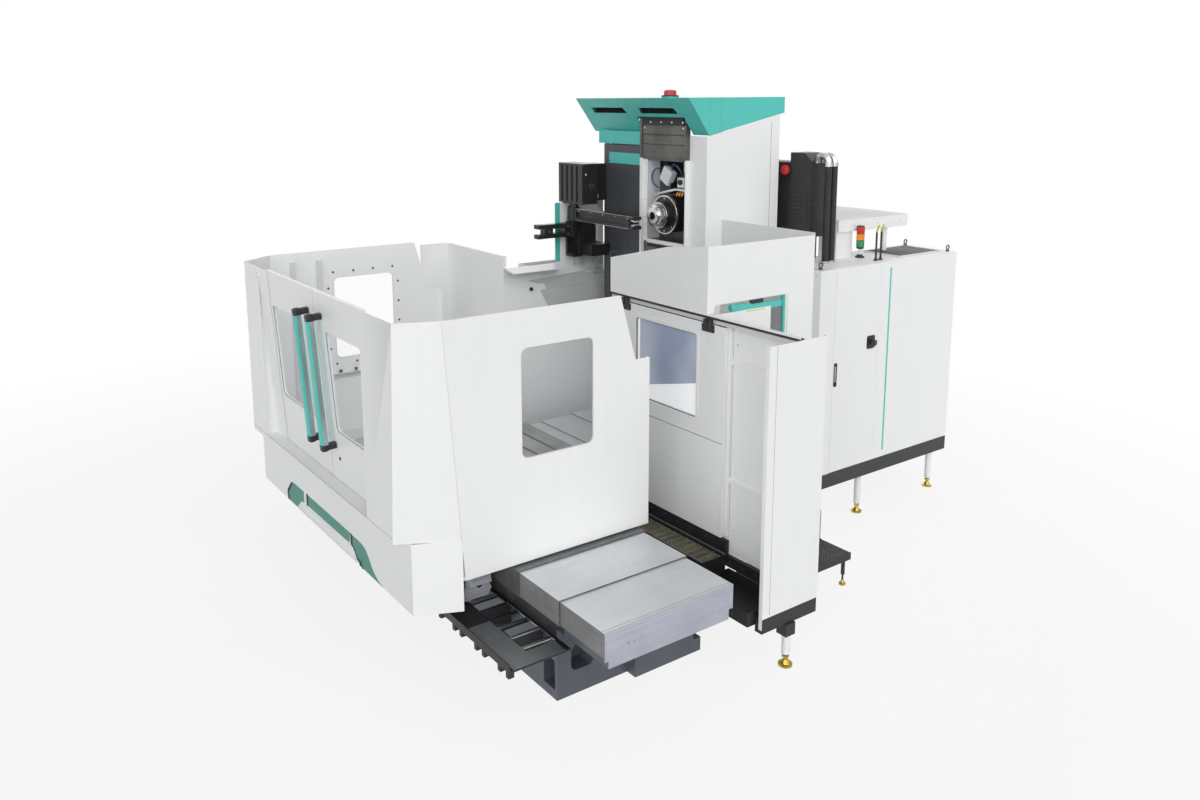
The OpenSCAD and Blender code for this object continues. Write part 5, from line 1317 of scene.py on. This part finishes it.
def dressGuardDoor():
    v = guardDoorValues
    (x0, x1), (z0, z1) = windows["guard"]
    face = guardDoor.y0
    makePiece("guardDoorTrim", [
        (frameRing, x0 + 0.0005, x1 - 0.0005, z0 + 0.0005, z1 - 0.0005, 0.018, v["trim"], "y",
         face - v["trimProud"], face + 0.0005)],
        "guard_door", ["whitePowderCoat"], 0.0012)
    makePiece("guardDoorGasket", [
        (frameRing, x0 - 0.0003, x1 + 0.0003, z0 - 0.0003, z1 + 0.0003, 0.020, -0.006, "y",
         face + 0.002, face + 0.0125)], "guard_door", ["galvanisedSheet"])
    back, fore = (face + depth for depth in v["film"])
    # white film on the pane's lower part, glowing as painted light
    makePiece("guardDoorFilm", [
        (plate, [(x0 + 0.002, z0 + 0.002), (x1 - 0.002, z0 + 0.002), (x1 - 0.002, 1.578),
                 (x0 + 0.002, 1.418)], "y", back, fore),
        (block, x0 + 0.002, x0 + 0.030, back, fore, 1.42, z1 - 0.002)],
        "guard_door", ["whiteFilmPaintedGlow"])
    fold = v["foldZ"]
    makePiece("guardDoorFoldsAndShadowLine", [
        (plate, [(face - 0.003, fold), (face + 0.0005, fold + 0.006),
                 (face + 0.0005, fold - 0.006)], "x", *v["leafX"]),
        (block, 0.560, 0.584, face - 0.0030, face + 0.0004, 0.594, guardDoor.z1 - 0.040),
        # a grey line just under the fold: painted shadow
        (block, *v["leafX"], face - 0.0006, face + 0.0004, fold - 0.010, fold - 0.0062, 1)],
        "guard_door", ["whitePowderCoat", "galvanisedSheet"], 0.0003)
    # Cover plates and bolts of the two hangers
    shapes, bolts = [], []
    for x in v["hangers"]:
        shapes.append((plate, roundOutline(x - 0.058, x + 0.058, 1.950, 2.0015, 0.008, 3), "y",
                       face - 0.007, face + 0.001))
        shapes += [(plate, roundOutline(x + a, x + b, 1.985, 2.034, 0.006, 3), "y", face - 0.011,
                    face - 0.0045) for a, b in ((-0.040, -0.004), (0.006, 0.044))]
        bolts += [((x + s, face - 0.0125, 2.010), forward) for s in (-0.022, 0.025)]
        bolts += [((x + s, face - 0.0085, 1.966), forward) for s in (-0.040, 0.040)]
    makePiece("hangerPlates", shapes, "guard_door", ["blackNylon"], 0.0012)
    growFasteners("hangerBolts", bolts, "guard_door", radius=0.0075, height=0.004,
                  head="darkWiperSteel")


rightGuardValues = {
    "panel": 1.010,  # face of the recessed panel
    "jambZ": (0.60, 2.035), "kickBolts": 0.145, "feet": 0.22, "foot": (0.05, 0.05, 0.022),
    "legs": ((1.035, 3.130), (1.035, 4.100), (0.620, 2.600), (1.462, 1.900), (0.600, 1.900))}


def dressRightGuard():
    v = rightGuardValues
    box = span("right_guard")
    panel, end = v["panel"], box.x1
    makePiece("guardJamb", [(block, 1.6655, 1.6925, 0.993, 0.999, *v["jambZ"]),
                            (block, 1.6925, 1.6955, 0.993, panel + 0.001, *v["jambZ"])],
              "machine", ["whitePowderCoat"], 0.0008)
    makePiece("guardSeams", [
        (block, 1.700, 1.702, panel - 0.0008, panel + 0.001, *v["jambZ"]),
        (block, end - 0.0005, end + 0.0006, box.y0 + 0.060, box.y0 + 0.0615, 0.40, 2.045)],
        "machine", ["greyNylon"])
    panelScrews("rightGuardScrews", [((x, panel - 0.0018, z), forward) for x in (1.74, 2.02, 2.28)
                                     for z in (0.66, 1.90)])
    bolts = [((0.52 + k * v["kickBolts"], 0.9605, z), forward) for k in range(8)
             for z in (0.495, 0.557)]
    bolts += [((1.76 + k * 0.12, 0.9605, 0.457), forward) for k in range(4)]
    growFasteners("kickStripBolts", bolts, "machine", radius=0.007, height=0.004, sides=6,
                  head="darkWiperSteel")
    growRow("kickStripFeet", (0.58, 0.985, 0.456), (v["feet"], 0, 0), 6, v["foot"], "blackNylon",
            "machine", "black_sheet")
    makePiece("railCover", [
        (plate, [(0.9566, 2.0625), (0.9614, 2.0655), (0.9786, 2.0655), (0.9786, 2.0625)], "x",
         0.470, end - 0.006),
        (block, 0.4645, end - 0.006, 0.9588, 0.9602, 2.0535, 2.0640)],
        "machine", ["whitePowderCoat"], 0.0004)
    makePiece("railBack", [(block, 0.4645, end - 0.006, 0.97175, 0.97225, 2.0095, 2.0375)],
              "machine", ["greyWhitePowderCoat"])
    # Hex nuts on the levelling threads
    legs = [(end - 0.025, 0.940), (span("left_guard").x0 + 0.025, 0.940), *v["legs"]]
    growFasteners("legNuts", [((x, y, 0.0635), upward) for x, y in legs], "machine",
                  "ground_steel", "passivatedSteel", "passivatedSteel", 0.024, 0.014, 6)


# Console: its screen, keys and lamps, the teal hanger bar above it, and the upper box's hem
consoleValues = {
    "face": 1.480, "keys": 7, "keyPitch": 0.048, "key": (0.005, 0.030, 0.022),
    "lampZ": (1.64, 1.70, 1.76), "lamp": 0.009, "stop": 0.022, "hangerX": (1.462, 1.482)}


def dressConsole():
    v = consoleValues
    face, hanger = v["face"], v["hangerX"]
    makePiece("consoleScreen", [
        (plate, roundOutline(1.19, 1.55, 1.68, 1.93, 0.012, 4), "x", face - 0.003, face - 0.0005),
        (block, face - 0.003, face - 0.0006, 1.135, 1.165, 1.60, 1.93, 1),
        (block, face - 0.0005, face + 0.0015, 1.095, 1.625, 1.9675, 1.9735, 2)],
        "machine", ["blackRubber", "greyNylon", "yellowSleeve"], 0.0004)
    growRow("consoleKeys", (face - 0.001, 1.235, 1.560), (0, v["keyPitch"], 0), v["keys"],
            v["key"], "whiteNylon", "machine", "black_plastic")
    growFasteners("consoleLamps", [((face - 0.0005, 1.150, z), rightward) for z in v["lampZ"]],
                  "machine", radius=v["lamp"], height=0.006, head="greenLens", recess="greenLens")
    growFasteners("consoleStop", [((1.524, 1.200, 1.620), rightward)], "machine",
                  radius=v["stop"], height=0.012, sides=20, head="redAcetal", recess="redAcetal")
    makePiece("consoleHanger", [
        (plate, [(1.215, 2.092), (1.215, 2.044), (1.672, 2.020), (1.672, 2.068)], "x", *hanger),
        (lathe, (1.472, 1.216, 2.068), forward, [(0, 0.026), (0.020, 0.026), (0.026, 0.018)], 24),
        (block, 1.462, 1.4965, 1.672, 1.6865, 1.700, 2.106),
        (block, 1.4835, 1.4860, 1.030, 1.560, 1.7200, 2.044, 1),
        (block, 1.4835, 1.4860, 1.560, 1.672, 1.7200, 2.030, 2),
        (block, 1.4860, 1.4885, 1.330, 1.500, 2.0300, 2.0365, 3),
        (plate, roundOutline(1.462, 1.486, 1.370, 1.492, 0.010, 4), "z", 2.0770, 2.103, 4)],
        "machine", ["tealPowderCoat", "whitePowderCoat", "galvanisedSheet",
                                  "yellowSleeve", "blackNylon"], 0.0012)
    box = span("upper_box")
    makePiece("boxSeams", [(block, box.x1 - 0.0005, box.x1 + 0.0006, 1.702, 1.7035, 0.28, 2.112)],
              "machine", ["greyNylon"])
    hem = [(0.468, 2.2985), (1.102, 2.4495), (1.4985, 2.4945), (1.4985, 2.4825), (1.102, 2.4375),
           (0.468, 2.2865)]
    makePiece("boxHem", [
        (block, 0.470, 0.478, box.y0 + 0.0035, box.y0 + 0.020, 2.07, 2.300),
        (plate, hem, "y", box.y0 + 0.0028, box.y0 + 0.022)],
        "machine", ["whitePowderCoat"], 0.0008)


dressLeftGuard()
dressGuardDoor()
dressRightGuard()
dressConsole()
print("guards: trims, hangers, console")

# Electrical cabinet: seams, the vent on its roof, lifting eyes, the lock's bezel and the grip
cabinetValues = {
    "face": 1.100, "lock": (3.130, 1.485), "gripZ": (1.180, 1.370), "gripInset": 0.027,
    "ventY": 0.0275, "ventX": 0.0500, "vents": (18, 7), "vent": 0.0095,
    "screwX": (0.60, 0.83, 1.06), "screwZ": (0.50, 1.24, 1.31, 2.09),
    "eyeX": (0.600, 1.040), "eyeY": (2.560, 4.190), "eye": 0.019, "eyeWire": 0.0062,
    "eyeFoot": [(0, 0.018), (0.010, 0.018), (0.012, 0.010), (0.018, 0.010)]}


def dressCabinet():
    v = cabinetValues
    box = span("cabinet")
    face, top, back = v["face"], box.z1, box.y0
    y, z = v["lock"]
    makePiece("cabinetLock", [
        (plate, roundOutline(y - 0.050, y + 0.050, z - 0.055, z + 0.055, 0.018), "x",
         face - 0.0005, face + 0.003),
        (lathe, (1.142, y, z), rightward, [(0, 0.0262), (0.003, 0.0262), (0.006, 0.021)], 28, 1),
        (block, 1.1465, 1.1505, y - 0.003, y + 0.003, z - 0.017, z + 0.017, 2)],
        "left_cabinet_door", ["blackNylon", "blackNylon", "greyNylon"], 0.0008)
    y = span("left_cabinet_door").y0 + v["gripInset"]
    z0, z1 = v["gripZ"]
    makePiece("cabinetGrip", [
        (plate, roundOutline(y - 0.006, y + 0.006, z0 + 0.035, z1 - 0.025, 0.005, 3), "x",
         face - 0.006, face + 0.001),
        (frameRing, y - 0.015, y + 0.015, z0, z1, 0.014, 0.004, "x", face - 0.0005, face + 0.0016,
         1)], "left_cabinet_door", ["anodisedAluminium", "blackNylon"], 0.0006)
    makePiece("roofVent", [
        (block, 0.640, 1.020, 3.560, 4.120, top - 0.0005, top + 0.012),
        (block, 0.655, 1.005, 3.575, 4.105, top + 0.0115, top + 0.0135, 1)],
        "machine", ["greyWhitePowderCoat", "blackPowderCoat"], 0.001)
    growHoles("roofVentSlots", (0.680, 3.600, top + 0.0142), (0, v["ventY"], 0), v["vents"][0],
              (v["ventX"], 0, 0), v["vents"][1], v["vent"], upward, "blackRubber", "machine",
              "black_sheet", height=0.0014, sides=10)
    makePiece("cabinetSeams", [
        (block, 0.575, 1.095, back - 0.0007, back + 0.001, 1.272, 1.274),
        (block, 0.5595, 1.0985, back - 0.0007, back + 0.001, 0.4592, 0.4612)],
        "machine", ["greyNylon"])
    panelScrews("cabinetScrews", [((x, back - 0.0015, z), forward) for x in v["screwX"]
                                  for z in v["screwZ"]])
    shapes = []
    angles = [2 * math.pi * k / 16 for k in range(17)]
    for x in v["eyeX"]:
        for y in v["eyeY"]:
            ring = [(x, y + v["eye"] * math.cos(a), top + 0.034 + v["eye"] * math.sin(a))
                    for a in angles]
            shapes += [(lathe, (x, y, top - 0.0005), upward, v["eyeFoot"], 16),
                       (tube, ring, v["eyeWire"], 8, 0, False)]
    makePiece("liftingEyes", shapes, "machine", ["darkWiperSteel"])


# Signal tower: foot, tube, three ribbed lenses with dark spacers and a cap
towerValues = {
    "lens": 0.057, "radius": 0.033, "lensLow": 0.090, "ribs": 16, "rib": 0.0009,
    "turned": (  # profile of heights and radii, sides, finish
        ([(0, 0.038), (0.010, 0.038), (0.016, 0.024), (0.026, 0.022)], 28, 1),
        ([(0.020, 0.0125), (0.080, 0.0125)], 20, 0),
        ([(0.072, 0.018), (0.076, 0.030), (0.090, 0.0325)], 28, 1)),
    "cap": [(0, 0.031), (0.003, 0.030), (0.007, 0.020), (0.008, 0.008)]}


def makeTower():
    v = towerValues
    box = span("signal_tower")
    x, y, low = (box.x0 + box.x1) / 2, (box.y0 + box.y1) / 2, box.z0
    lens, radius, rib = v["lens"], v["radius"], v["rib"]
    shapes = [(lathe, (x, y, low), upward, *turned) for turned in v["turned"]]
    for k in range(3):
        z = low + v["lensLow"] + k * lens
        shapes += [(lathe, (x, y, z), upward, [(0.0005, radius - 0.001),
                                               (lens - 0.004, radius - 0.001)], 32, 2 + k),
                   (lathe, (x, y, z), upward, [(lens - 0.0045, radius), (lens, radius)], 32, 1)]
        for i in range(v["ribs"]):
            a = 2 * math.pi * i / v["ribs"]
            ribX, ribY = x + (radius - 0.001) * math.cos(a), y + (radius - 0.001) * math.sin(a)
            shapes.append((block, ribX - rib, ribX + rib, ribY - rib, ribY + rib, z + 0.004,
                           z + lens - 0.008, 2 + k))
    shapes.append((lathe, (x, y, low + v["lensLow"] + 3 * lens - 0.0005), upward, v["cap"], 28, 1))
    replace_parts(makePiece("signalTowerDressed", shapes, "machine", [
        "whiteNylon", "blackNylon", "greenLens", "orangeLens", "redAcetal"]), "signal_tower")


# Hood and rear unit: grey lid, antenna tips, corrugated hoses with bright elbows, louvres, wheel
rearValues = {
    "lidZ": 2.450, "seams": 0.22, "rodX": 1.000, "rodY": (3.270, 3.330),
    "hoseX": 0.845, "hoseY": (2.830, 2.900), "hoseZ": (2.135, 2.925), "radius": 0.0265,
    "ripple": 0.07, "pitch": 0.011, "bend": 0.060, "elbow": 0.0252,
    "louvres": 9, "louvrePitch": 0.034, "wheel": (0.455, 2.744, 2.860)}


def dressRearUnits():
    v = rearValues
    hood = span("hood_unit")
    lid = v["lidZ"]
    # the lid is greyed as painted shade on the hood's top
    shapes = [(block, hood.x0 + 0.012, 0.768, hood.y0 + 0.012, hood.y1 - 0.012, lid - 0.0005,
               lid + 0.0025)]
    shapes += [(block, hood.x0 + 0.02, 0.760, y - 0.001, y + 0.001, lid + 0.0022, lid + 0.0032)
               for y in (hood.y0 + k * v["seams"] for k in (1, 2, 3))]
    makePiece("hoodLid", shapes, "machine", ["greyWhitePowderCoat"], 0.0006)
    shapes = []
    x = v["rodX"]
    for y in v["rodY"]:
        shapes += [(tube, [(x, y, 2.365), (x + 0.004, y, 2.380), (x + 0.012, y, 2.402),
                           (x + 0.024, y, 2.425)], 0.0085, 12),
                   (lathe, (x, y, 2.130), upward, [(0, 0.020), (0.006, 0.020), (0.010, 0.012),
                                                   (0.022, 0.011)], 18, 1)]
    makePiece("rodTips", shapes, "machine", ["yellowSleeve", "blackNylon"])
    panelScrews("hoodScrews", [((0.7805, 3.10 + k * 0.15, 2.40), rightward) for k in range(6)],
                0.006, 0.003)
    x, (low, high) = v["hoseX"], v["hoseZ"]
    profile = []
    for k in range(int((high - low) / v["pitch"])):
        z = low + k * v["pitch"]
        profile += [(z, v["radius"]), (z + v["pitch"] * 0.5, v["radius"] * (1 + v["ripple"])),
                    (z + v["pitch"] * 0.9, v["radius"])]
    angles = [math.radians(a) for a in range(0, 181, 15)]
    for name, y in zip(("hose1", "hose2"), v["hoseY"]):
        elbow = [(x - v["bend"] + v["bend"] * math.cos(a), y, 2.930 + v["bend"] * math.sin(a))
                 for a in angles]
        makePiece(name, [
            (lathe, (x, y, 0), upward, profile, 14),
            (lathe, (x, y, 2.905), upward, [(0, 0.031), (0.030, 0.031)], 20, 1),
            (lathe, (x, y, 2.132), upward, [(0, 0.034), (0.016, 0.034)], 20, 1),
            (tube, elbow, v["elbow"], 16, 1, False)],
            "machine", ["blackRubber", "groundRailSteel"])
    shapes = [(block, 0.105, 0.727, 2.7635, 2.7652, 2.334, 2.352)]
    shapes += [(block, 0.530, 0.700, 2.7600, 2.7655, z, z + 0.016)
               for z in (2.42 + k * v["louvrePitch"] for k in range(v["louvres"]))]
    makePiece("rearLouvres", shapes, "machine", ["blackNylon"], 0.001)
    x, y, z = v["wheel"]
    makePiece("redWheel", [
        (lathe, v["wheel"], forward, [(0, 0.040), (0.004, 0.038), (0.006, 0.024), (0.014, 0.022)],
         28),
        (frameRing, x - 0.05, x + 0.05, z - 0.05, z + 0.05, 0.0499, 0.008, "y", y + 0.012,
         y + 0.024, 1)], "machine", ["redAcetal", "blackNylon"])
    growFasteners("rearScrews", [((0.7305, y, z), rightward) for y in (2.79, 2.94)
                                 for z in (2.36, 2.60, 2.85)], "machine",
                  radius=0.007, height=0.004, head="darkWiperSteel")


# Step platform: raised lozenges in two offset fields, edge trims and a cap on the post
platformValues = {"top": 0.240, "lozenge": 0.0062, "pitch": (0.0250, 0.0335),
                  "fields": (("platformLozenges", 1.545, 1.285, 12, 24),
                             ("platformLozengesTwo", 1.5575, 1.3018, 11, 23))}


def dressPlatform():
    v = platformValues
    top, (pitchX, pitchY) = v["top"], v["pitch"]
    for name, x, y, columns, rows in v["fields"]:
        growHoles(name, (x, y, top + 0.0006), (pitchX, 0, 0), columns, (0, pitchY, 0), rows,
                  v["lozenge"], upward, "darkWiperSteel", "machine", "black_sheet", 0.0016, 4)
    low, high = top - 0.001, top + 0.004
    makePiece("platformTrim", [
        (block, 1.519, 1.525, 1.259, 1.776, low, high),
        (block, 1.840, 1.846, 1.259, 2.076, low, high),
        (block, 1.525, 1.840, 1.259, 1.265, low, high),
        (block, 1.533, 1.577, 2.023, 2.0665, low, top + 0.010)],
        "machine", ["blackPowderCoat"], 0.001)
    makePiece("postCap", [
        (plate, roundOutline(1.5385, 1.5715, 2.0285, 2.0615, 0.008, 4), "z", 0.4495, 0.476)],
        "machine", ["orangeLens"], 0.002)


# Table and rotary base: the bore's bright rim and the ring of clamp screws
tableValues = {"bore": 0.0255, "rim": 0.030, "screws": 24, "screwReach": 0.497}


def dressTable():
    v = tableValues
    top, base, bore = span("table").z1, span("rotary_base").z1, v["bore"]
    makePiece("tableBoreRim", [
        (frameRing, -bore, bore, -bore, bore, bore - 0.0001, v["rim"], "z", top - 0.0004,
         top + 0.0008)], "table", ["groundShaftSteel"])
    angles = [2 * math.pi * (k + 0.5) / v["screws"] for k in range(v["screws"])]
    growFasteners("baseScrews", [((v["screwReach"] * math.cos(a), v["screwReach"] * math.sin(a),
                                   base + 0.0016), upward) for a in angles], "saddle",
                  radius=0.008, height=0.004, head="darkWiperSteel")


dressCabinet()
makeTower()
dressRearUnits()
dressPlatform()
dressTable()
print("cabinet, tower, rear units, platform, table")

studioValues = {
    "fill": 0.15,  # strength of the surround
    "floorTone": "#DADADA",
    "clearFloor": (4.0, 8.0), "clearShare": 0.85,  # where the floor clears to white, in metres
    "suns": {  # strength, spread in degrees, direction towards the lamp, casts shadows
        "keySun": (0.9, 50, (0.69, 0.33, 0.64), True),
        "backSun": (0.95, 75, (-0.62, 0.72, 0.33), True),
        "cameraSun": (1.9, 75, (0.80, -0.54, 0.32), True),
        "frontFill": (0.5, 50, (0.25, -0.93, 0.28), False),
    },
}
for name, (strength, spread, towards, shadow) in studioValues["suns"].items():
    lampData = bpy.data.lights.new(name, "SUN")
    lampData.energy = strength
    lampData.angle = math.radians(spread)
    lampData.use_shadow = shadow
    lamp = bpy.data.objects.new(name, lampData)
    lamp.rotation_euler = Vector(towards).to_track_quat("Z", "Y").to_euler()
    scene.collection.objects.link(lamp)


def seenWhite(tree):
    # 1 for the camera's rays and those that gloss and glass send on, 0 for the lighting
    rays = add(tree, "ShaderNodeLightPath").outputs
    seen = add(tree, "ShaderNodeMath", {0: rays["Is Camera Ray"], 1: rays["Is Glossy Ray"]},
               operation="MAXIMUM")
    return add(tree, "ShaderNodeMath", {0: seen.outputs[0], 1: rays["Is Transmission Ray"]},
               operation="MAXIMUM").outputs[0]


scene.world = bpy.data.worlds.new("studio")
scene.world.use_nodes = True
tree = scene.world.node_tree
tree.nodes.clear()
soft = add(tree, "ShaderNodeBackground", {"Color": colour("#FDFDFF"),
                                          "Strength": studioValues["fill"]})
plain = add(tree, "ShaderNodeBackground", {"Color": (1, 1, 1, 1), "Strength": 1.0})
mixed = add(tree, "ShaderNodeMixShader", {0: seenWhite(tree), 1: soft.outputs[0],
                                          2: plain.outputs[0]})
add(tree, "ShaderNodeOutputWorld", {"Surface": mixed.outputs[0]})

# The floor takes the shadow near the machine and clears to white further out
floorMesh = bmesh.new()
block(floorMesh, -60, 60, -60, 60, -0.06, -0.002)
floorData = bpy.data.meshes.new("floor")
floorMesh.to_mesh(floorData)
floorMesh.free()
floor = bpy.data.objects.new("floor", floorData)
scene.collection.objects.link(floor)
tree, place = newFinish("paleFloor")
distance = add(tree, "ShaderNodeVectorMath", {0: place}, operation="LENGTH").outputs["Value"]
near, far = studioValues["clearFloor"]
clear = add(tree, "ShaderNodeMapRange", {"Value": distance, "From Min": near, "From Max": far,
                                         "To Min": studioValues["clearShare"]})
share = add(tree, "ShaderNodeMath", {0: clear.outputs[0], 1: seenWhite(tree)},
            operation="MULTIPLY")
matt = add(tree, "ShaderNodeBsdfPrincipled", {"Base Color": colour(studioValues["floorTone"]),
                                              "Roughness": 0.9})
white = add(tree, "ShaderNodeEmission", {"Color": (1, 1, 1, 1), "Strength": 1.0})
mixed = add(tree, "ShaderNodeMixShader", {0: share.outputs[0], 1: matt.outputs[0],
                                          2: white.outputs[0]})
add(tree, "ShaderNodeOutputMaterial", {"Surface": mixed.outputs[0]})
floorData.materials.append(finishes["paleFloor"])
print("studio: four suns, white surround, pale floor")
